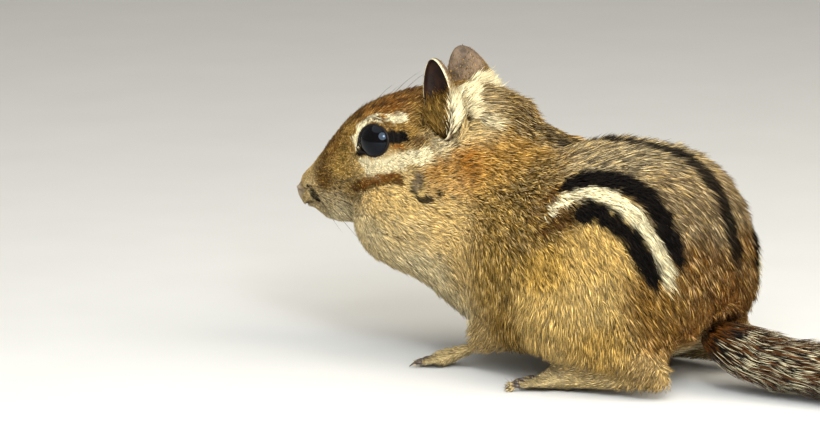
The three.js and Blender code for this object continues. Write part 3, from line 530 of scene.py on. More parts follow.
def coat_colour_group():
    """Node group: the coat's colour from its marks, with banded, uneven hairs and painted shade deep in the
    coat towards their roots.
    """
    name = "chipmunk_coat_colour"
    if name in bpy.data.node_groups:
        return bpy.data.node_groups[name]
    tree = bpy.data.node_groups.new(name, "ShaderNodeTree")
    for colour in COAT_COLOURS:
        tree.interface.new_socket(name=colour, in_out="INPUT", socket_type="NodeSocketColor")
    # root shade: how dark the painted shade deep in the coat makes a hair's root
    tree.interface.new_socket(name="root shade", in_out="INPUT", socket_type="NodeSocketFloat")
    tree.interface.new_socket(name="Color", in_out="OUTPUT", socket_type="NodeSocketColor")
    given = tree.nodes.new("NodeGroupInput")
    put_out = tree.nodes.new("NodeGroupOutput")
    brown, gold, pale = attribute_parts(tree, "marks_a")
    rufous, dark, bare = attribute_parts(tree, "marks_b")
    chance, along, other = attribute_parts(tree, "hair")
    # Grizzled hairs: about half dark, the others with a pale band and a dark point
    band = multiplied(tree, ranged(tree, along, 0.2, 0.45), ranged(tree, chance, 0.5, 0.68))
    pointed = multiplied(tree, band, ranged(tree, along, 0.75, 1.0, 1.0, 0.2))
    colour = mixed(tree, pointed, given.outputs["grizzle_dark"], given.outputs["grizzle_pale"])
    for share, name in ((brown, "brown"), (gold, "gold"), (rufous, "rufous")):
        colour = mixed(tree, share, colour, given.outputs[name])
    # A few hairs stay dark among the coloured ones, and a few are tipped with gold
    colour = mixed(tree, ranged(tree, chance, 0.24, 0.12, 0.0, 0.75), colour, given.outputs["grizzle_dark"])
    tipped = multiplied(tree, ranged(tree, along, 0.3, 0.7), ranged(tree, chance, 0.86, 0.95, 0.0, 0.6))
    for share, name in ((tipped, "gold"), (pale, "pale"), (dark, "dark")):
        colour = mixed(tree, share, colour, given.outputs[name])
    # Some hairs darker, some lighter, and all darker towards the root as painted shade deep in the coat
    uneven = ranged(tree, other, 0.0, 1.0, 0.45, 1.35)
    patchy = ranged(tree, noise(tree, 260.0), 0.3, 0.7, 0.86, 1.12)
    root_shade_fade = ranged(tree, along, 0.0, 0.6, 0.0, 1.0)
    root = mixed(tree, root_shade_fade, given.outputs["root shade"], (1, 1, 1))
    for shade in (uneven, patchy, root):
        colour = mixed(tree, 1.0, colour, shade, "MULTIPLY")
    colour = mixed(tree, bare, colour, given.outputs["nose"])
    tree.links.new(colour, put_out.inputs["Color"])
    return tree


def plain_material(name, colour, roughness, specular=0.5):
    made = bpy.data.materials.new(name)
    made.use_nodes = True
    shader = made.node_tree.nodes["Principled BSDF"]
    shader.inputs["Base Color"].default_value = (*colour, 1)
    shader.inputs["Roughness"].default_value = roughness
    shader.inputs["Specular IOR Level"].default_value = specular
    return made, made.node_tree, shader


def coat_material(name, painted_root_shade, bump):
    """Hair or the skin under it, coloured by the shared group with painted shade towards the roots, with a fine
    hairy bump.
    """
    if name in bpy.data.materials:
        return bpy.data.materials[name]
    _, colours = settings()
    made, tree, shader = plain_material(name, (0.3, 0.2, 0.1), 0.62, 0.07)
    group = node(tree, "ShaderNodeGroup", node_tree=coat_colour_group())
    for colour in COAT_COLOURS:
        group.inputs[colour].default_value = (*getattr(colours, colour), 1)
    group.inputs["root shade"].default_value = painted_root_shade
    tree.links.new(group.outputs["Color"], shader.inputs["Base Color"])
    set_bump(tree, shader, noise(tree, 3200.0, 3.0), bump)
    return made


# Meshes
Surface = namedtuple("Surface", "points normals faces")


def surface_of(obj):
    """Points, normals and triangles of a finished object, in millimetres of the working system."""
    mesh = obj.data
    mesh.calc_loop_triangles()
    count = len(mesh.vertices)
    points, normals = np.empty(count * 3), np.empty(count * 3)
    mesh.vertices.foreach_get("co", points)
    mesh.vertex_normals.foreach_get("vector", normals)
    faces = np.empty(len(mesh.loop_triangles) * 3, dtype=np.int32)
    mesh.loop_triangles.foreach_get("vertices", faces)
    return Surface(from_frame(points.reshape(-1, 3)), normals.reshape(-1, 3), faces.reshape(-1, 3))


def link(name, mesh, materials):
    obj = bpy.data.objects.new(name, mesh)
    bpy.context.scene.collection.objects.link(obj)
    for material in materials:
        mesh.materials.append(material)
    return obj


def finished(obj, slot, *nodes):
    """The piece rides on the body and stands for these nodes; the slot is not used."""
    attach(obj, "root")
    if nodes:
        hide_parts(*nodes)
    return obj


def applied(obj):
    """The object's modifiers are made part of its mesh."""
    depsgraph = bpy.context.evaluated_depsgraph_get()
    mesh = bpy.data.meshes.new_from_object(obj.evaluated_get(depsgraph))
    old = obj.data
    obj.modifiers.clear()
    obj.data = mesh
    bpy.data.meshes.remove(old)
    return obj


def mesh_from(name, points, faces):
    """A mesh of triangles from arrays; points in millimetres of the working system."""
    mesh = bpy.data.meshes.new(name)
    mesh.vertices.add(len(points))
    mesh.vertices.foreach_set("co", to_frame(points).astype(np.float32).ravel())
    mesh.loops.add(faces.size)
    mesh.loops.foreach_set("vertex_index", faces.astype(np.int32).ravel())
    mesh.polygons.add(len(faces))
    mesh.polygons.foreach_set("loop_start", np.arange(0, faces.size, 3, dtype=np.int32))
    mesh.polygons.foreach_set("use_smooth", np.ones(len(faces), dtype=bool))
    mesh.update(calc_edges=True)
    return mesh


def set_colours(mesh, name, columns):
    values = np.ones((len(mesh.vertices), 4), dtype=np.float32)
    for n, column in enumerate(columns):
        values[:, n] = column
    mesh.color_attributes.new(name, "FLOAT_COLOR", "POINT").data.foreach_set("color", values.ravel())


def set_skin_hair(mesh):
    """Skin has the look of the middle of a hair of ordinary tone."""
    set_colours(mesh, "hair", (0.5, 0.5, 0.3))


def set_hair(mesh, stations, count, rng):
    """Of each hair: its chance, the way along it, and its tone. It has three corners at each station."""
    along = np.concatenate([[0], np.repeat(stations, 3), [1]])
    chance, tone = (np.repeat(rng.random(count), len(along)) for _ in range(2))
    set_colours(mesh, "hair", (chance, np.tile(along, count), tone))


def set_marks(mesh, marks, repeat=1):
    spread = [np.repeat(m, repeat) for m in marks]
    set_colours(mesh, "marks_a", (spread[0], spread[1], spread[2]))
    set_colours(mesh, "marks_b", (spread[3], spread[4], spread[5]))


def scatter(surface, weight, count, rng):
    """Evenly jittered places on the surface: points, normals."""
    corners = surface.points[surface.faces]
    area = np.linalg.norm(np.cross(corners[:, 1] - corners[:, 0], corners[:, 2] - corners[:, 0]), axis=1)
    reached = np.cumsum(area * weight)
    picks = (np.arange(count) + rng.random(count)) / count * reached[-1]
    face = np.minimum(np.searchsorted(reached, picks), len(area) - 1)
    a, b = rng.random(count), rng.random(count)
    over = a + b > 1
    a[over], b[over] = 1 - a[over], 1 - b[over]
    share = np.stack([1 - a - b, a, b], axis=1)[:, :, None]
    points = (surface.points[surface.faces[face]] * share).sum(axis=1)
    normals = unit((surface.normals[surface.faces[face]] * share).sum(axis=1))
    return points, normals


def blades(spine, across, half_width, flat=0.55):
    """Closed thin blades of hair. spine is (count, rings + 2, 3): root, rings and point."""
    count, stations = spine.shape[:2]
    rings = stations - 2
    tangent = unit(spine[:, 2:] - spine[:, :-2])
    side = unit(across[:, None, :] - tangent * (across[:, None, :] * tangent).sum(axis=2, keepdims=True))
    over = np.cross(tangent, side)
    width = half_width[:, :, None]
    ring = np.stack(
        [
            spine[:, 1:-1] + side * width - over * width * flat * 0.4,
            spine[:, 1:-1] + over * width * flat,
            spine[:, 1:-1] - side * width - over * width * flat * 0.4,
        ],
        axis=2,
    ).reshape(count, rings * 3, 3)
    points = np.concatenate([spine[:, :1], ring, spine[:, -1:]], axis=1)
    faces = []
    for k in range(3):
        a, b = 1 + k, 1 + (k + 1) % 3
        faces.append((b, a, 0))
        for r in range(rings - 1):
            faces += [(a + 3 * r, b + 3 * r, b + 3 * r + 3), (a + 3 * r, b + 3 * r + 3, a + 3 * r + 3)]
        faces.append((a + 3 * (rings - 1), b + 3 * (rings - 1), 3 * rings + 1))
    each = 3 * rings + 2
    faces = (np.arange(count)[:, None, None] * each + np.array(faces)[None]).reshape(-1, 3)
    return points.reshape(-1, 3), faces, each


PATCH = 0.003  # size of a hair's patch on the bake map


def set_bake_map(mesh, rings, places):
    """Each hair becomes a small patch at its root's place on the unwrapped skin."""
    across = np.concatenate([[0], np.tile([-0.5, 0.0, 0.5], rings), [0]])
    along = np.concatenate([[-0.5], np.repeat(np.arange(1, rings + 1) / (rings + 1) - 0.5, 3), [0.5]])
    offset = np.stack([across, along], axis=1) * PATCH
    uv = (np.clip(places, PATCH, 1 - PATCH)[:, None, :] + offset[None]).reshape(-1, 2)
    loops = np.empty(len(mesh.loops), dtype=np.int32)
    mesh.loops.foreach_get("vertex_index", loops)
    layer = mesh.uv_layers.new(name="OFBake")
    layer.data.foreach_set("uv", uv[loops].astype(np.float32).ravel())


def unwrapped(points, middle, lengthwise, start, end):
    """Places on the skin unrolled round a lengthwise axis: turn round the axis, and way along it."""
    lengthwise = unit(lengthwise)
    side = unit(np.cross(UP, lengthwise))
    over = np.cross(lengthwise, side)
    q = points - np.asarray(middle)
    turn = np.arctan2(q @ side, -(q @ over)) / (2 * math.pi) + 0.5
    return np.stack([turn, np.clip((q @ lengthwise - start) / (end - start), 0, 1)], axis=1)


HAIR_STATIONS = (0.0, 0.42, 1.0)  # root, ring and point of a short hair, as shares of its length
FLOOR_CLEARANCE = 0.12


def hair_spines(roots, normals, lie, lengths, rng, lift, spread):
    """The line of each hair: it leaves the skin at a slant and bends over to lie along it."""
    count = len(roots)
    along = unit(lie - normals * (lie * normals).sum(axis=1, keepdims=True))
    side = np.cross(normals, along)
    sway = spread * (0.75 * wander(roots, 2.6, 5)[:, :1] + rng.normal(0, 0.45, (count, 1)))
    along = unit(along + side * sway)
    rise = lift * (1 + 0.25 * rng.normal(size=(count, 1)) + 0.35 * wander(roots, 3.4, 8)[:, :1])
    length = lengths[:, None]
    spine = np.stack(
        [
            roots - normals * 0.15 * (1 - t) + length * (along * t + normals * rise * (1.6 * t - 0.6 * t * t))
            for t in HAIR_STATIONS
        ],
        axis=1,
    )
    return spine, np.cross(normals, along)


def coat_piece(name, slot, surface, weight, count, seed, unroll, lift=0.3, spread=0.28, coat=coat_at):
    """One piece of the coat, grown on a surface where the weight of its faces is above 0."""
    sizes, _ = settings()
    rng = np.random.default_rng(seed)
    roots, normals = scatter(surface, weight, count, rng)
    lie, lengths, shares = coat(roots)
    lengths = lengths * rng.uniform(0.72, 1.18, count)
    spine, across = hair_spines(roots, normals, lie, lengths, rng, lift, spread)
    spine[:, 1:, 2] = np.maximum(spine[:, 1:, 2], FLOOR_CLEARANCE)
    width = sizes.hair_width / MM * (0.45 + 0.55 * lengths / 3) * rng.uniform(0.8, 1.2, count)
    points, faces, each = blades(spine, across, width[:, None])
    mesh = mesh_from(name, points, faces)
    marks = marks_at(spine[:, 1:-1].mean(axis=1), shares)
    set_marks(mesh, marks, each)
    set_hair(mesh, [0.5], count, rng)
    set_bake_map(mesh, 1, unroll(roots))
    return finished(link(name, mesh, [coat_material("coat_hair", 0.42, 0.0)]), slot)


# The skin
FLESH = [
    "head", "neck", "torso", "foreleg_left", "foreleg_right", "thigh_left", "thigh_right",
    "forepaw_left", "forepaw_right", "hind_foot_left", "hind_foot_right",
]
TAIL_NODES = ["tail_base", "tail_middle", "tail_tip"]
TAIL_LINE = [(0, 43, 14), (0, 53, 8.5), (-0.5, 67, 6.2), (-3, 87, 5.6), (-9, 113, 5.2), (-17, 137, 4.2)]
TAIL_CORE = 2.3  # radius at the root
TAIL_NARROWS = 0.66  # share of it lost at the tip
CLOSE_GAPS = 0.22


def tail_places(count):
    """Points along the tail's middle line."""
    knots = np.array(TAIL_LINE, dtype=float)
    knots = np.vstack([2 * knots[0] - knots[1], knots, 2 * knots[-1] - knots[-2]])
    t = np.linspace(0, len(TAIL_LINE) - 1 - 1e-6, count)
    n = t.astype(int)
    f = (t - n)[:, None]
    a, b, c, d = (knots[n + k] for k in range(4))
    return 0.5 * (2 * b + (c - a) * f + (2 * a - 5 * b + 4 * c - d) * f**2 + (3 * b - a - 3 * c + d) * f**3)


def tail_core():
    """A closed tapering tube along the tail, as a mesh."""
    line = tail_places(40)
    shaft = bmesh.new()
    previous = None
    for n, (middle, ahead) in enumerate(zip(line, np.gradient(line, axis=0))):
        share = n / (len(line) - 1)
        turn = Vector(ahead).to_track_quat("Z", "Y").to_matrix().to_4x4()
        matrix = Matrix.Translation(Vector(to_frame(middle))) @ turn
        radius = TAIL_CORE * (1 - TAIL_NARROWS * share) * MM
        ring = bmesh.ops.create_circle(shaft, segments=14, radius=radius, matrix=matrix)["verts"]
        edges = list({e for v in ring for e in v.link_edges if e.other_vert(v) in ring})
        if previous:
            bmesh.ops.bridge_loops(shaft, edges=previous + edges)
        previous = edges
    bmesh.ops.holes_fill(shaft, edges=[e for e in shaft.edges if e.is_boundary])
    bmesh.ops.recalc_face_normals(shaft, faces=shaft.faces)
    mesh = bpy.data.meshes.new("tail_core")
    shaft.to_mesh(mesh)
    shaft.free()
    return mesh


def joined_flesh():
    """Copies of the flesh solids, grown until they meet, and the tail's core, in one mesh."""
    together = bmesh.new()
    for name in FLESH:
        copy = bmesh.new()
        copy.from_mesh(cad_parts[name].data)
        bmesh.ops.remove_doubles(copy, verts=copy.verts, dist=1e-6)
        copy.normal_update()
        for vert in copy.verts:
            vert.co += vert.normal * CLOSE_GAPS * MM
        mesh = bpy.data.meshes.new(name + "_copy")
        copy.to_mesh(mesh)
        copy.free()
        together.from_mesh(mesh)
        bpy.data.meshes.remove(mesh)
    core = tail_core()
    together.from_mesh(core)
    bpy.data.meshes.remove(core)
    mesh = bpy.data.meshes.new("skin")
    together.to_mesh(mesh)
    together.free()
    return mesh


def near(points, place, reach):
    """1 at a place given along the head's axes, falling to 0 at its reach, on both sides."""
    q = in_head(points)
    q[:, 1] = np.abs(q[:, 1])
    return 1 - smoothstep(0, 1, np.linalg.norm((q - np.asarray(place)) / np.asarray(reach), axis=1))


def face_forms(points, normals):
    """Nose, nostrils, lips and mouth line, as moves along the normals."""
    q = in_head(points)
    q[:, 1] = np.abs(q[:, 1])
    move = np.zeros(len(points))
    move += 0.45 * near(points, (0.6, 0.9, -0.3), (2.2, 1.8, 1.9))
    move += 0.5 * near(points, (2.0, 0.6, 2.2), (3.0, 2.8, 2.6))
    move += 0.2 * near(points, (1.6, 0.8, -1.6), (2.6, 2.4, 1.7))
    move -= 0.6 * near(points, (4.0, 0.0, -4.2), (4.5, 4.0, 2.6))
    move -= 1.0 * near(points, (9.5, 0.0, -8.5), (8.0, 6.0, 5.0))
    move += 0.3 * near(points, (2.2, 2.6, 1.2), (2.0, 1.8, 2.0))
    move -= 1.1 * near(points, (NOSTRIL["back"], NOSTRIL["left"], NOSTRIL["up"]), (1.3, 0.75, 0.6))
    move += 0.35 * near(points, (0.8, NOSTRIL["left"], NOSTRIL["up"] + 0.9), (1.2, 0.9, 0.5))
    cleft = (1 - smoothstep(0.1, 0.45, q[:, 1])) * (1 - smoothstep(2, 3.5, q[:, 0]))
    move -= 0.35 * cleft * smoothstep(-2.9, -2.3, q[:, 2]) * (1 - smoothstep(-1.2, -0.5, q[:, 2]))
    move -= 0.4 * near_line(q, MOUTH_LINE, 0.55)
    move -= 0.6 * near_line(q, NOSTRIL_SLIT, 0.5)
    move -= 0.55 * near_line(q, NOSE_WING, 0.7)
    move += 0.35 * near(points, (5.0, 3.4, -1.0), (3.6, 2.4, 1.6))
    signed = in_head(points)
    move -= 0.3 * (1 - smoothstep(0.5, 1.1, from_middle(signed, BALD_SPOT)))
    move -= 0.5 * near_line(signed, CHEEK_FOLD, 0.7)
    return points + normals * move[:, None]


# Where the body is slimmer than the solids: left, rear and up, its reach each way, and by how much
SLIMMER = (((0, 17, 45.5), (14, 8, 7), 1.1), ((10, 54, 27), (9, 8, 13), 0.9))


def coat_depth(points, lengths):
    """How far the skin lies inside the coat's outline."""
    sizes, _ = settings()
    depth = np.maximum(0.12, sizes.coat_depth * lengths)
    both_sides = points * [0, 1, 1] + np.abs(points) * [1, 0, 0]
    for middle, reach, more in SLIMMER:
        away = np.linalg.norm((both_sides - np.array(middle)) / np.array(reach), axis=1)
        depth += more * (1 - smoothstep(0, 1, away))
    return depth


class CHIPMUNK_OT_skin(bpy.types.Operator):
    """Wrap one skin round the flesh and tail core, with the face's forms in it"""

    bl_idname = "chipmunk.skin"
    bl_label = "Skin"

    def execute(self, context):
        sizes, _ = settings()
        skin = link("skin", joined_flesh(), [])
        wrap = skin.modifiers.new("wrap", "REMESH")
        wrap.mode = "VOXEL"
        wrap.voxel_size = sizes.skin_grain
        even = skin.modifiers.new("even", "SMOOTH")
        even.factor, even.iterations = 0.5, 9
        applied(skin)
        if not skin.data.polygons:
            raise RuntimeError("the skin came out empty")
        fine = bmesh.new()
        fine.from_mesh(skin.data)
        for reach, cuts in ((15.0, 1), (6.5, 1)):
            middle = Vector(to_frame(head_point(2.0, 0, -0.5)))
            chosen = [f for f in fine.faces if (f.calc_center_median() - middle).length < reach * MM]
            edges = list({e for f in chosen for e in f.edges})
            bmesh.ops.subdivide_edges(fine, edges=edges, cuts=cuts, use_grid_fill=True, smooth=0.6)
        bmesh.ops.triangulate(fine, faces=[f for f in fine.faces if len(f.verts) > 4])
        fine.to_mesh(skin.data)
        fine.free()
        surface = surface_of(skin)
        _, lengths, shares = coat_at(surface.points)
        depth = coat_depth(surface.points, lengths) + CLOSE_GAPS
        points = face_forms(surface.points - surface.normals * depth[:, None], surface.normals)
        on_tail = smoothstep(56, 60, surface.points[:, 1])[:, None]
        points = points * (1 - on_tail) + surface.points * on_tail
        points[:, 2] = np.maximum(points[:, 2], 0.0)
        skin.data.vertices.foreach_set("co", to_frame(points).astype(np.float32).ravel())
        skin.data.polygons.foreach_set("use_smooth", np.ones(len(skin.data.polygons), dtype=bool))
        skin.data.update()
        set_marks(skin.data, marks_at(surface.points, shares))
        set_skin_hair(skin.data)
        skin.data.materials.append(coat_material("skin_under_coat", 0.5, 0.35))
        finished(skin, "back", *FLESH, *TAIL_NODES)
        return {"FINISHED"}


# The head's small pieces
def gaze(hand):
    return unit(hand * HEAD_LEFT + 0.28 * HEAD_FORWARD + 0.12 * UP)


def from_eye(points, hand):
    """How far places are from an eye's middle: across, 1 on its opening's edge, and outwards."""
    away = points - eye_middle(hand)
    axes = np.array(facing(gaze(hand)).to_3x3())
    across = np.hypot((away @ axes[:, 0]) / EYE["width"], (away @ axes[:, 1]) / EYE["height"]) * 2
    return across, away @ gaze(hand)


def corner_point(hand, angle):
    """How far a lid's edge reaches beyond its oval, at an angle round the eye; it points at the front."""
    away = (angle - math.radians(213 if hand > 0 else -33) + math.pi) % (2 * math.pi) - math.pi
    return 0.35 * math.exp(-((away / 0.28) ** 2))


def facing(way):
    """A turn that takes Z to the way a thing faces, and keeps Y upright."""
    way = unit(way)
    up = unit(UP - way * way[2])
    across = np.cross(up, way)
    return Matrix([[across[n], up[n], way[n], 0] for n in range(3)] + [[0, 0, 0, 1]])


def placed(middle, turn, size=(1, 1, 1)):
    """Places a form of working-system millimetres in the frame."""
    scale = Matrix.Diagonal((size[0] * MM, size[1] * MM, size[2] * MM, 1))
    return Matrix.Translation(Vector(to_frame(middle))) @ turn @ scale


def circle(count, start=0.0):
    """Points round Z on a circle of radius 1."""
    turn = np.arange(count) / count * 2 * math.pi + start
    return np.stack([np.cos(turn), np.sin(turn), np.zeros(count)], axis=1)


def ball_rings(around, along):
    """Rings of a ball of radius 1, from its top down, without its two poles."""
    tilts = math.pi * np.arange(1, along) / along
    return [circle(around) * math.sin(tilt) + UP * math.cos(tilt) for tilt in tilts]


def from_rings(rings, first=None, last=None, joined=False):
    """A form of rings of points, in the same order each run. A pole closes an end, or the ends are joined."""
    form = bmesh.new()
    rows = [[form.verts.new(point) for point in ring] for ring in rings]
    pairs = list(zip(rows, rows[1:] + rows[:1])) if joined else list(zip(rows, rows[1:]))
    for one, other in pairs:
        for n in range(len(one)):
            form.faces.new((one[n - 1], one[n], other[n], other[n - 1]))
    for row, pole in ((rows[0], first), (rows[-1], last)):
        if pole is not None:
            tip = form.verts.new(pole)
            for n in range(len(row)):
                form.faces.new((row[n - 1], row[n], tip))
    return form


def smooth_object(name, form, materials):
    mesh = bpy.data.meshes.new(name)
    bmesh.ops.recalc_face_normals(form, faces=form.faces)
    for face in form.faces:
        face.smooth = True
    form.to_mesh(mesh)
    form.free()
    return link(name, mesh, materials)


LID_RINGS = (0.97, 1.03, 1.1, 1.2, 1.34, 1.5, 1.7)  # shares of the eye's opening


def lids(side, hand):
    """The two lids of one eye: skin from the opening's edge out over the socket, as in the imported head."""
    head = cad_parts["head"].data
    tree = BVHTree.FromPolygons([v.co for v in head.vertices], [p.vertices[:] for p in head.polygons])
    axes = np.array(facing(gaze(hand)).to_3x3())
    steps = 72
    points = []
    for share in LID_RINGS:
        for angle in np.arange(steps) / steps * 2 * math.pi:
            point = share + corner_point(hand, angle) * (1.7 - share) / 0.7
            flat = np.array([math.cos(angle) * EYE["width"] / 2, math.sin(angle) * EYE["height"] / 2]) * point
            high = math.sqrt(max(EYE["radius"] ** 2 - flat @ flat, 0.0)) + (0.14 if share > 1 else -0.1)
            place = eye_middle(hand) + axes @ np.array([*flat, high])
            if share > 1.03:
                start = eye_middle(hand) + axes @ np.array([*flat, 9.0])
                hit = tree.ray_cast(Vector(to_frame(start)), Vector(-gaze(hand)))[0]
                if hit is not None:
                    place = from_frame(np.array(hit)) - 0.22 * gaze(hand)
            points.append(place)
    points = np.array(points)
    a = np.arange(steps)
    b = (a + 1) % steps
    faces = []
    for n in range(len(LID_RINGS) - 1):
        low, high = n * steps, (n + 1) * steps
        faces.append(np.stack([low + a, high + a, high + b], axis=1))
        faces.append(np.stack([low + a, high + b, low + b], axis=1))
    mesh = mesh_from("lids_" + side, points, np.concatenate(faces))
    marks = marks_at(points, coat_at(points)[2])
    edge = np.repeat(1 - smoothstep(1.06, 1.16, np.array(LID_RINGS)), steps)
    set_marks(mesh, marks._replace(dark=np.maximum(marks.dark, edge)))
    set_skin_hair(mesh)
    lid = link("lids_" + side, mesh, [coat_material("skin_under_coat", 0.5, 0.35)])
    thick = lid.modifiers.new("thick", "SOLIDIFY")
    thick.thickness, thick.offset = 0.12 * MM, -1
    return applied(lid)


RIM_STEPS, RIM_RADIUS = 56, 0.1  # steps round a lid's rim, and its thickness as a share of the opening


class CHIPMUNK_OT_eyes(bpy.types.Operator):
    """Make the two glossy eyes and the dark rims of their lids"""

    bl_idname = "chipmunk.eyes"
    bl_label = "Eyes and lids"

    def execute(self, context):
        wet, tree, shader = plain_material("eye_wet_black", (0.004, 0.003, 0.003), 0.03, 0.22)
        shader.inputs["Specular Tint"].default_value = (0.6, 0.78, 1.0, 1)
        set_mottled(tree, shader, 500.0, (0.0015, 0.0012, 0.0012), (0.004, 0.0025, 0.002))
        rim_skin, tree, shader = plain_material("lid_rim", (0.012, 0.009, 0.008), 0.5, 0.15)
        set_mottled(tree, shader, 2500.0, (0.004, 0.003, 0.003), (0.014, 0.010, 0.008))
        for side, hand in SIDES.items():
            turn = facing(gaze(hand))
            ball = from_rings(ball_rings(64, 40), UP, -UP)
            size = [EYE["radius"]] * 3
            bmesh.ops.transform(ball, matrix=placed(eye_middle(hand), turn, size), verts=ball.verts)
            finished(smooth_object("eyeball_" + side, ball, [wet]), "eye", "eye_" + side)
            ring = from_rings(
                [
                    circle(RIM_STEPS) * (1 + RIM_RADIUS * math.cos(turned)) + UP * RIM_RADIUS * math.sin(turned)
                    for turned in np.arange(10) / 10 * 2 * math.pi + math.pi / 2
                ],
                joined=True,
            )
            for vert in ring.verts:
                point = 1 + corner_point(hand, math.atan2(vert.co.y, vert.co.x))
                vert.co.x *= EYE["width"] / 2 * point
                vert.co.y *= EYE["height"] / 2 * point
                vert.co.z = vert.co.z * 3.2 - 1.2 * (point - 1)
            out = eye_middle(hand) + gaze(hand) * 2.86
            bmesh.ops.transform(ring, matrix=placed(out, turn), verts=ring.verts)
            finished(smooth_object("lid_rim_" + side, ring, [rim_skin]), "eye")
            finished(lids(side, hand), "crown")
        return {"FINISHED"}


def ear_middle(hand):
    return head_point(EAR["back"], hand * EAR["left"], EAR["up"])


def ear_turn(hand):
    """A turn that takes Z to the way an ear opens and Y along its height."""
    opening = unit(hand * HEAD_LEFT + 0.62 * HEAD_FORWARD + 0.33 * UP)
    return Matrix.Rotation(math.radians(EAR["lean"]), 4, Vector(HEAD_LEFT)) @ facing(opening)


def in_ear(points, hand):
    """Places along an ear's width, height and depth, 1 at its half sizes."""
    axes = np.array(ear_turn(hand).to_3x3())
    return (points - ear_middle(hand)) @ axes / (np.array([EAR[n] for n in ("width", "height", "depth")]) / 2)


def ear_material():
    """Inside painted dark as the shade in its hollow, grey-brown outside, with a thin pale rim of edging hairs
    that also stands for light caught on the rim.
    """
    _, colours = settings()
    made, tree, shader = plain_material("ear_skin", colours.ear, 0.7, 0.25)
    inside, rim, _ = attribute_parts(tree, "forms")
    patchy = ranged(tree, noise(tree, 450.0, 4.0), 0.35, 0.65)
    # The inside is painted dark for the shade in the ear's hollow
    painted_shade_within = mixed(tree, patchy, tuple(0.4 * c for c in colours.ear), colours.ear)
    without = mixed(tree, patchy, tuple(0.3 * c for c in colours.ear_back), colours.ear_back)
    tint = mixed(tree, inside, without, painted_shade_within)
    # The pale rim stands for edging hairs and for painted light caught on the rim
    tint = mixed(tree, rim, tint, tuple(0.75 * c for c in colours.pale))
    tree.links.new(tint, shader.inputs["Base Color"])
    set_bump(tree, shader, noise(tree, 3000.0), 0.4)
    return made


EAR_MOUTH = 0.24  # where a ball of radius 1 is cut to make the cup


def cup_rings():
    """Rings of a ball below the height of the ear's mouth, with one ring at that height."""
    rings = ball_rings(48, 28)
    kept = [ring for ring in rings if ring[0, 2] < EAR_MOUTH]
    above = rings[len(rings) - len(kept) - 1]
    share = (EAR_MOUTH - kept[0][0, 2]) / (above[0, 2] - kept[0][0, 2])
    return [kept[0] + share * (above - kept[0])] + kept


class CHIPMUNK_OT_ears(bpy.types.Operator):
    """Make the two thin cupped ears"""

    bl_idname = "chipmunk.ears"
    bl_label = "Ears"

    def execute(self, context):
        skin = ear_material()
        for side, hand in SIDES.items():
            cup = from_rings(cup_rings(), last=-UP)
            for vert in cup.verts:
                x, y, z = vert.co
                narrow = 1 - 0.16 * max(0.0, -y) ** 1.5 - 0.14 * max(0.0, y) ** 2
                vert.co.x = x * (EAR["width"] / 2 - 0.25) * narrow
                vert.co.y = y * (EAR["height"] / 2 - 0.25)
                vert.co.z = z * (EAR["depth"] / 2 - 0.2) * (0.68 if z < 0 else 1)
            bmesh.ops.recalc_face_normals(cup, faces=cup.faces)
            bmesh.ops.transform(cup, matrix=placed(ear_middle(hand), ear_turn(hand)), verts=cup.verts)
            ear = smooth_object("ear_cup_" + side, cup, [skin])
            wall = ear.modifiers.new("wall", "SOLIDIFY")
            wall.thickness, wall.offset = 0.32 * MM, -1
            rounding = ear.modifiers.new("rounding", "SUBSURF")
            rounding.levels = rounding.render_levels = 1
            applied(ear)
            surface = surface_of(ear)
            place = in_ear(surface.points, hand)
            axes = np.array(ear_turn(hand).to_3x3())
            inside = ((surface.normals @ axes) * place).sum(axis=1) < 0
            # Rim: pale edging hairs, and painted light caught on the ear's outer rim
            rim = smoothstep(0.06, 0.17, place[:, 2]) * ~inside
            set_colours(ear.data, "forms", (inside, rim))
            finished(ear, "ear", "ear_" + side)
        return {"FINISHED"}


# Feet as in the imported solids: heel, ball, width, toes' sideways places, toe and claw lengths
FEET = {
    "fore": {"heel": (12, 2, 4.2), "ball": (12.6, -3.2, 1.9), "width": 6.4, "toe": 5.0, "claw": 1.6,
             "toes": (-0.5, -0.17, 0.17, 0.5), "radius": 1.05},
    "hind": {"heel": (16.5, 48.5, 3.2), "ball": (18.8, 26.5, 2.2), "width": 7.6, "toe": 7.6, "claw": 2.0,
             "toes": (-0.62, -0.3, 0, 0.3, 0.62), "radius": 1.15},
}


def claw_ends(foot, hand):
    """Tip of each toe and point of its claw."""
    heel, ball = np.array(foot["heel"], float), np.array(foot["ball"], float)
    along = ball - heel
    along[2] = 0
    along = unit(along)
    across = np.array([-along[1], along[0], 0])
    for spread in foot["toes"]:
        reach = foot["toe"] * (1 - 0.55 * spread * spread)
        way = unit(along - across * spread * 0.55)
        root = ball - across * spread * foot["width"] * 0.82
        tip = root + way * reach
        tip[2] = foot["radius"] * 0.85
        point = tip + way * foot["claw"]
        point[2] = 0.35
        yield tip * [hand, 1, 1], point * [hand, 1, 1]


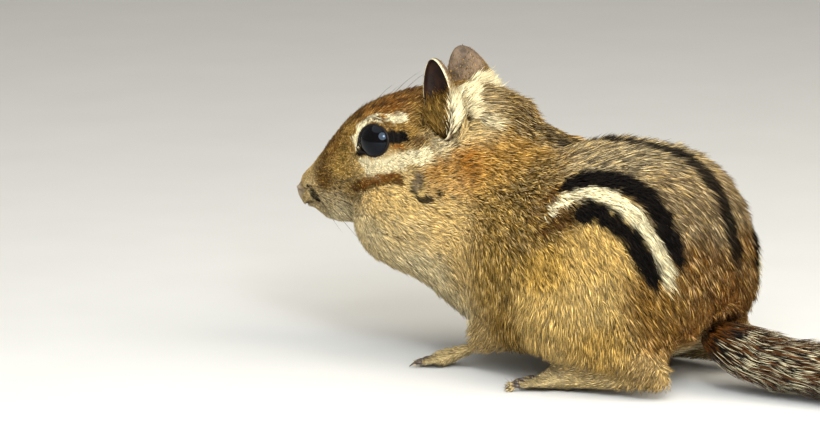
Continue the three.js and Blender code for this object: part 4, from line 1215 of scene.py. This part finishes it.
class CHIPMUNK_OT_claws(bpy.types.Operator):
    """Make the curved claws of all four feet"""

    bl_idname = "chipmunk.claws"
    bl_label = "Claws"

    def execute(self, context):
        _, colours = settings()
        horn, tree, shader = plain_material("claw_horn", colours.claw, 0.35, 0.5)
        pale = tuple(min(1, 2.6 * c) for c in colours.claw)
        tint = mixed(tree, ranged(tree, noise(tree, 1500.0), 0.4, 0.7), colours.claw, pale)
        tree.links.new(tint, shader.inputs["Base Color"])
        for kind, foot in FEET.items():
            for side, hand in SIDES.items():
                claws = bmesh.new()
                for tip, point in claw_ends(foot, hand):
                    length = float(np.linalg.norm(point - tip)) + 0.9
                    claw = bmesh.new()
                    bmesh.ops.create_cone(
                        claw, cap_ends=True, segments=8, radius1=0.46, radius2=0.07, depth=length
                    )
                    long_edges = [
                        e for e in claw.edges if abs(e.verts[0].co.z - e.verts[1].co.z) > length / 2
                    ]
                    bmesh.ops.subdivide_edges(claw, edges=long_edges, cuts=4)
                    for vert in claw.verts:
                        share = vert.co.z / length + 0.5
                        vert.co.y += 0.45 * share * (1 - share) * length
                    way = unit(point - tip)
                    middle = tip + way * (length / 2 - 0.9)
                    bmesh.ops.transform(claw, matrix=placed(middle, facing(way)), verts=claw.verts)
                    mesh = bpy.data.meshes.new("claw")
                    claw.to_mesh(mesh)
                    claw.free()
                    claws.from_mesh(mesh)
                    bpy.data.meshes.remove(mesh)
                finished(smooth_object(f"claws_{kind}_{side}", claws, [horn]), "foot")
        return {"FINISHED"}


class CHIPMUNK_OT_whiskers(bpy.types.Operator):
    """Grow the whiskers on both sides of the snout and over the eyes"""

    bl_idname = "chipmunk.whiskers"
    bl_label = "Whiskers"

    def execute(self, context):
        _, colours = settings()
        dark, tree, shader = plain_material("whisker", colours.whisker, 0.4, 0.4)
        set_mottled(tree, shader, 120.0, colours.whisker, tuple(4 * c for c in colours.whisker))
        rng = np.random.default_rng(31)
        stations = np.linspace(0, 1, 9)
        for side, hand in SIDES.items():
            spines = []
            for n, (back, left, up) in enumerate(WHISKER_ROOTS):
                row, column = divmod(n, 4)
                root = head_point(back, hand * (left - 0.5), up)
                way = head_way(0.55 + 0.16 * column, hand * 0.62, 0.42 - 0.3 * row)
                way = unit(way + 0.08 * rng.normal(size=3))
                length = (9 + 2.6 * column) * rng.uniform(0.85, 1.15)
                droop = UP * -0.16 + head_way(0.22, 0, 0)
                spines.append([root + length * (t * way + t * t * droop) for t in stations])
            for n in range(2):
                root = head_point(17.0 + 1.5 * n, hand * 5.6, 17.0)
                way = unit(head_way(0.5, hand * 0.4, 0.9))
                spines.append([root + 8 * (t * way + t * t * head_way(0.25, 0, -0.1)) for t in stations])
            spines = np.array(spines)
            width = np.linspace(0.055, 0.015, len(stations) - 2)[None] * np.ones((len(spines), 1))
            points, faces, _ = blades(spines, np.tile(UP, (len(spines), 1)), width, flat=1.0)
            mesh = mesh_from("whiskers_" + side, points, faces)
            finished(link("whiskers_" + side, mesh, [dark]), "crown")
        return {"FINISHED"}


# The coat
def skin_surface():
    surface = surface_of(bpy.data.objects["skin"])
    centres = surface.points[surface.faces].mean(axis=1)
    return surface, centres


def growth(centres):
    """How densely hair stands on each face: none on the nose pad, eyes and soles."""
    _, lengths, _ = coat_at(centres)
    q = in_head(centres)
    bare = from_middle(q, NOSE_PAD) < 1.0
    for hand in SIDES.values():
        across, out = from_eye(centres, hand)
        bare |= (across < 1.4) & (out > 0) & (out < 6)
    bare |= centres[:, 2] < 0.35
    bare |= centres[:, 1] > 62
    thin = 1 - 0.88 * (1 - smoothstep(0.75, 1.15, from_middle(q, BALD_ROOTS)))
    return np.where(bare, 0.0, thin / (lengths + 0.4) ** 1.25)


def shares_like(like, *shares):
    """Brown, gold, pale and rufous for each hair, from numbers or one value a hair."""
    return np.stack([np.broadcast_to(share, like.shape) for share in shares], axis=1)


def ear_coat(side, hand, unroll):
    """Very short hair on the ear's back, white low at its rear, and longer brown hair low inside it."""
    surface = surface_of(bpy.data.objects["ear_cup_" + side])
    middles = surface.points[surface.faces].mean(axis=1)
    place = in_ear(middles, hand)
    axes = np.array(ear_turn(hand).to_3x3())
    inside = ((surface.normals[surface.faces].mean(axis=1) @ axes) * place).sum(axis=1) < 0

    def back_hair(roots):
        place = in_ear(roots, hand)
        low = smoothstep(0.35, -0.5, place[:, 1])
        white = low * smoothstep(-0.3, 0.4, hand * place[:, 0])
        lie = np.tile(axes[:, 1] + head_way(0.35, 0, 0), (len(roots), 1))
        return lie, 0.55 + 0.6 * low + 1.7 * white, shares_like(low, 0.85 - 0.7 * white, 0.15, 0.85 * white, 0)

    def inner_hair(roots):
        low = smoothstep(0.3, -0.7, in_ear(roots, hand)[:, 1])
        lie = np.tile(axes[:, 1] + 0.3 * axes[:, 2], (len(roots), 1))
        return lie, 0.8 + 2.6 * low, shares_like(low, 1 - 0.1 * low, 0.05 + 0.15 * low, 0, 0)

    weight = ~inside * smoothstep(1.0, -0.6, place[:, 1]) * smoothstep(-0.95, -0.7, place[:, 1])
    coat_piece(
        "coat_ear_back_" + side, "ear", surface, weight, 3000, 110 + hand, unroll, lift=0.3, coat=back_hair
    )
    weight = inside * smoothstep(0.35, -0.3, place[:, 1])
    coat_piece(
        "coat_ear_inside_" + side, "ear", surface, weight, 1700, 113 + hand, unroll, lift=0.5, spread=0.4,
        coat=inner_hair,
    )


# Behind an ear: middle of each part of the tuft, and its reach
TUFTS = (
    ((34.2, 5.0, 21.9), 2.1), ((35.6, 6.8, 21.0), 2.1), ((36.7, 8.8, 19.6), 2.0), ((37.3, 10.4, 18.0), 1.8),
)


def tuft_coat(side, hand, unroll):
    """White tufts that stand up behind an ear."""
    surface, centres = skin_surface()
    q = in_head(centres) * [1, hand, 1]
    weight = np.zeros(len(centres))
    for middle, reach in TUFTS:
        weight = np.maximum(weight, smoothstep(1.0, 0.4, np.linalg.norm(q - middle, axis=1) / reach))

    def tuft_hair(roots):
        upper = smoothstep(17, 21, in_head(roots)[:, 2])
        lie = np.tile(head_way(1, 0.1 * hand, 0.5), (len(roots), 1)) + 0.5 * upper[:, None] * UP
        return lie, 2.9 + 0.9 * upper, shares_like(upper, 0, 0.15, 0.8, 0)

    coat_piece(
        "coat_tuft_" + side, "crown", surface, weight, 1500, 120 + hand, unroll, lift=0.55, spread=0.55,
        coat=tuft_hair,
    )


def lid_coat(side, hand, unroll):
    """Short hair on the lids, combed away from the eye."""
    surface = surface_of(bpy.data.objects["lids_" + side])
    across, _ = from_eye(surface.points[surface.faces].mean(axis=1), hand)
    outer = (surface.normals[surface.faces].mean(axis=1) @ gaze(hand)) > 0
    weight = (outer & (across > 1.03)).astype(float)

    def lid_hair(roots):
        lie, lengths, shares = coat_at(roots)
        apart = roots - eye_middle(hand)
        outward = unit(apart - (apart @ gaze(hand))[:, None] * gaze(hand))
        return unit(lie) + 0.9 * outward, np.minimum(lengths, 0.9), shares

    coat_piece(
        "coat_lids_" + side, "crown", surface, weight, 1900, 130 + hand, unroll, lift=0.22, coat=lid_hair
    )


class CHIPMUNK_OT_head_coat(bpy.types.Operator):
    """Grow the short hair of face, crown and cheeks"""

    bl_idname = "chipmunk.head_coat"
    bl_label = "Coat of the head"

    def execute(self, context):
        surface, centres = skin_surface()
        density = growth(centres)
        q = in_head(centres)
        on_head = head_share(centres) > 0.5
        middle = head_point(0, 0, 4)

        def unroll(points):
            return unwrapped(points, middle, -HEAD_FORWARD, 0, 48)

        front = on_head & (q[:, 0] < 22)
        rear = on_head & ~front
        parts = {
            "coat_face_left": (front & (q[:, 1] >= 0), 20500, 101),
            "coat_face_right": (front & (q[:, 1] < 0), 20500, 102),
            "coat_cheek_left": (rear & (q[:, 1] >= 0), 22500, 103),
            "coat_cheek_right": (rear & (q[:, 1] < 0), 22500, 104),
        }
        for name, (where, count, seed) in parts.items():
            coat_piece(name, "crown", surface, density * where, count, seed, unroll)
        for side, hand in SIDES.items():
            ear_coat(side, hand, unroll)
            tuft_coat(side, hand, unroll)
            lid_coat(side, hand, unroll)
        return {"FINISHED"}


class CHIPMUNK_OT_body_coat(bpy.types.Operator):
    """Grow the hair of neck, trunk, haunches and limbs"""

    bl_idname = "chipmunk.body_coat"
    bl_label = "Coat of the body"

    def execute(self, context):
        surface, centres = skin_surface()
        density = growth(centres)
        x, y, z = centres.T
        body = head_share(centres) <= 0.5
        limb = body & ((z < 6) | ((y < 20) & (z < 14) & (np.abs(x) > 6)))
        fore = body & ~limb & (y < 19)
        back = body & ~limb & ~fore & (z >= 26)
        low = body & ~limb & ~fore & ~back
        middle = np.array([0, 0, 22])

        def unroll(points):
            return unwrapped(points, middle, (0, 1, 0), -20, 64)

        parts = {
            "coat_shoulders": (fore, 26000, 201, "back"),
            "coat_back_left": (back & (x >= 0), 19500, 202, "back"),
            "coat_back_right": (back & (x < 0), 19500, 203, "back"),
            "coat_haunch_left": (low & (x >= 0), 16500, 204, "flank"),
            "coat_haunch_right": (low & (x < 0), 16500, 205, "flank"),
            "coat_limbs": (limb, 14500, 206, "foot"),
        }
        for name, (where, count, seed, slot) in parts.items():
            lift = 0.32 if slot == "back" else 0.28
            coat_piece(name, slot, surface, density * where, count, seed, unroll, lift=lift)
        return {"FINISHED"}


# The brush of the tail: share of the way along it, half its width and half its height
TAIL_PROFILE = [
    (0, 5.5, 5.5), (0.18, 8.5, 5.8), (0.45, 10.5, 6.2), (0.75, 10.5, 6), (0.93, 7, 4.6), (1, 2.4, 2.2),
]
TAIL_HAIRS = 5600  # in each third
TAIL_BEYOND = 9.0  # how far hair reaches past the core's end
TAIL_STATIONS = np.array([0, 0.36, 0.72, 1])
TAIL_CLEARANCE = 0.3


def tail_material():
    """Long hair banded from rufous through black to a pale point."""
    name = "tail_hair"
    if name in bpy.data.materials:
        return bpy.data.materials[name]
    _, colours = settings()
    made, tree, shader = plain_material(name, colours.rufous, 0.6, 0.25)
    chance, along, other = attribute_parts(tree, "hair")
    base = mixed(tree, other, colours.rufous, colours.brown)
    band = multiplied(tree, ranged(tree, along, 0.3, 0.5), ranged(tree, chance, 0.0, 0.5, 0.3, 1.0))
    colour = mixed(tree, band, base, colours.dark)
    pointed = multiplied(tree, ranged(tree, along, 0.7, 0.88), ranged(tree, chance, 0.4, 0.55))
    colour = mixed(tree, pointed, colour, tuple(0.72 * c for c in colours.pale))
    colour = mixed(tree, 1.0, colour, ranged(tree, other, 0, 1, 0.7, 1.3), "MULTIPLY")
    tree.links.new(colour, shader.inputs["Base Color"])
    return made


class CHIPMUNK_OT_tail_coat(bpy.types.Operator):
    """Grow the long hair of the tail"""

    bl_idname = "chipmunk.tail_coat"
    bl_label = "Coat of the tail"

    def execute(self, context):
        shares, half_widths, half_heights = np.array(TAIL_PROFILE).T
        line = tail_places(400)
        ahead = unit(np.gradient(line, axis=0))
        reached = np.concatenate([[0], np.cumsum(np.linalg.norm(np.diff(line, axis=0), axis=1))])
        length_all = reached[-1] + TAIL_BEYOND
        for n, (seed, low, high) in enumerate(((301, 0.06, 0.36), (302, 0.36, 0.66), (303, 0.66, 0.99))):
            rng = np.random.default_rng(seed)
            count = TAIL_HAIRS // 1
            start = rng.uniform(low, high, count) * reached[-1]
            length = rng.uniform(9, 15, count) * (1 - 0.2 * start / reached[-1])
            turn = rng.uniform(0, 2 * math.pi, count)
            end = start + length * 0.92
            at = np.minimum(np.searchsorted(reached, start), len(line) - 1)
            beyond = np.maximum(end - reached[-1], 0)[:, None]
            to = np.minimum(np.searchsorted(reached, end), len(line) - 1)
            side_at = unit(np.cross(ahead[at], UP))
            over_at = np.cross(side_at, ahead[at])
            side_to = unit(np.cross(ahead[to], UP))
            over_to = np.cross(side_to, ahead[to])
            share = np.clip(end / length_all, 0, 1)
            wide = np.interp(share, shares, half_widths) * rng.uniform(0.45, 1.0, count)
            high_up = np.interp(share, shares, half_heights) * rng.uniform(0.4, 0.97, count)
            core = TAIL_CORE * (1 - TAIL_NARROWS * start / reached[-1]) * 0.8
            cos, sin = np.cos(turn)[:, None], np.sin(turn)[:, None]
            root = line[at] + core[:, None] * (side_at * cos + over_at * sin)
            tip = line[to] + ahead[to] * beyond
            tip += side_to * cos * wide[:, None] + over_to * sin * high_up[:, None]
            outward = side_at * cos * wide[:, None] + over_at * sin * high_up[:, None]
            control = root + 0.45 * (tip - root) + 0.32 * outward
            spine = np.stack(
                [(1 - t) ** 2 * root + 2 * t * (1 - t) * control + t * t * tip for t in TAIL_STATIONS], axis=1
            )
            stray = wander(spine.reshape(-1, 3), 5.0, 9).reshape(spine.shape)
            spine += 0.35 * stray * TAIL_STATIONS[None, :, None]
            spine[:, 1:, 2] = np.maximum(spine[:, 1:, 2], TAIL_CLEARANCE)
            width = rng.uniform(0.09, 0.15, count)[:, None] * np.array([1.0, 0.8])[None]
            points, faces, _ = blades(spine, np.cross(ahead[at], outward), width)
            name = f"coat_tail_{n + 1}"
            mesh = mesh_from(name, points, faces)
            set_hair(mesh, TAIL_STATIONS[1:-1], count, rng)
            set_bake_map(mesh, 2, np.stack([turn / (2 * math.pi), start / reached[-1]], axis=1))
            finished(link(name, mesh, [tail_material()]), "tail")
        return {"FINISHED"}


# Floor, light and camera
VIEW = {"azimuth": 125.0, "elevation": 10.0, "distance": 1300.0, "width": 157.7, "nearer": 20.0}
AIM = (-0.34, -20.69, 25.07)


class CHIPMUNK_OT_stage(bpy.types.Operator):
    """Set up the pale floor, soft light and camera"""

    bl_idname = "chipmunk.stage"
    bl_label = "Floor, light and camera"

    def execute(self, context):
        floor = bmesh.new()
        bmesh.ops.create_grid(floor, x_segments=8, y_segments=8, size=3.0)
        pale, tree, shader = plain_material("floor_pale", (0.62, 0.61, 0.58), 0.9, 0.2)
        set_mottled(tree, shader, 40.0, (0.60, 0.59, 0.56), (0.64, 0.63, 0.60))
        smooth_object("floor", floor, [pale])
        world = bpy.data.worlds.new("studio")
        world.use_nodes = True
        world.node_tree.nodes["Background"].inputs["Color"].default_value = (1.0, 0.98, 0.94, 1)
        world.node_tree.nodes["Background"].inputs["Strength"].default_value = 0.3
        context.scene.world = world
        azimuth, elevation = math.radians(VIEW["azimuth"]), math.radians(VIEW["elevation"])
        toward = np.array([
            math.sin(azimuth) * math.cos(elevation), -math.cos(azimuth) * math.cos(elevation),
            math.sin(elevation),
        ])
        right = unit(np.cross(UP, toward))
        over = np.cross(toward, right)
        aim = np.array(to_frame(np.array(AIM) + VIEW["nearer"] * toward))
        lights = {
            "key": (unit(0.72 * right + 0.52 * over + 0.5 * toward), 0.6, 0.6, 3.8, (1, 0.95, 0.85)),
            "top": (unit(-0.25 * right + 1.0 * UP + 0.15 * toward), 0.7, 0.8, 2.2, (1, 0.98, 0.93)),
            "fill": (unit(0.05 * right + 0.36 * over + 0.93 * toward), 0.6, 0.44, 4.3, (0.9, 0.95, 1)),
            "catch": (unit(0.16 * right + 0.36 * over + 0.92 * toward), 0.6, 0.11, 1.3, (0.92, 0.96, 1)),
        }
        context.scene.view_settings.view_transform = "Standard"
        for name, (way, distance, size, power, colour) in lights.items():
            lamp = bpy.data.lights.new(name, "AREA")
            lamp.shape, lamp.size, lamp.energy, lamp.color = "DISK", size, power, colour
            obj = bpy.data.objects.new(name, lamp)
            obj.location = Vector(aim + way * distance)
            obj.rotation_euler = Vector(way).to_track_quat("Z", "Y").to_euler()
            context.scene.collection.objects.link(obj)
        lens = bpy.data.cameras.new("camera")
        lens.sensor_width = 36
        lens.lens = 36 * VIEW["distance"] / VIEW["width"]
        lens.clip_start, lens.clip_end = 0.05, 20
        camera = bpy.data.objects.new("camera", lens)
        camera.location = Vector(aim + toward * VIEW["distance"] * MM)
        camera.rotation_euler = Vector(toward).to_track_quat("Z", "Y").to_euler()
        context.scene.collection.objects.link(camera)
        context.scene.camera = camera
        return {"FINISHED"}


OPERATORS = (
    CHIPMUNK_OT_skin, CHIPMUNK_OT_eyes, CHIPMUNK_OT_ears, CHIPMUNK_OT_claws, CHIPMUNK_OT_whiskers,
    CHIPMUNK_OT_head_coat, CHIPMUNK_OT_body_coat, CHIPMUNK_OT_tail_coat, CHIPMUNK_OT_stage,
)


class CHIPMUNK_PT_build(bpy.types.Panel):
    """The steps that build the chipmunk"""

    bl_label = "Chipmunk"
    bl_idname = "CHIPMUNK_PT_build"
    bl_space_type = "VIEW_3D"
    bl_region_type = "UI"
    bl_category = "Chipmunk"

    def draw(self, context):
        for group in (context.scene.chipmunk_sizes, context.scene.chipmunk_colours):
            for name in group.bl_rna.properties.keys():
                if name not in {"rna_type", "name"}:
                    self.layout.prop(group, name)
        for step in OPERATORS:
            self.layout.operator(step.bl_idname)


CLASSES = (ChipmunkColours, ChipmunkSizes, *OPERATORS, CHIPMUNK_PT_build)


def register():
    for cls in CLASSES:
        bpy.utils.register_class(cls)
    bpy.types.Scene.chipmunk_sizes = bpy.props.PointerProperty(type=ChipmunkSizes)
    bpy.types.Scene.chipmunk_colours = bpy.props.PointerProperty(type=ChipmunkColours)


def unregister():
    del bpy.types.Scene.chipmunk_colours
    del bpy.types.Scene.chipmunk_sizes
    for cls in reversed(CLASSES):
        bpy.utils.unregister_class(cls)


def main():
    register()
    for step in OPERATORS:
        group, action = step.bl_idname.split(".")
        getattr(getattr(bpy.ops, group), action)()


if __name__ == "__main__":
    main()
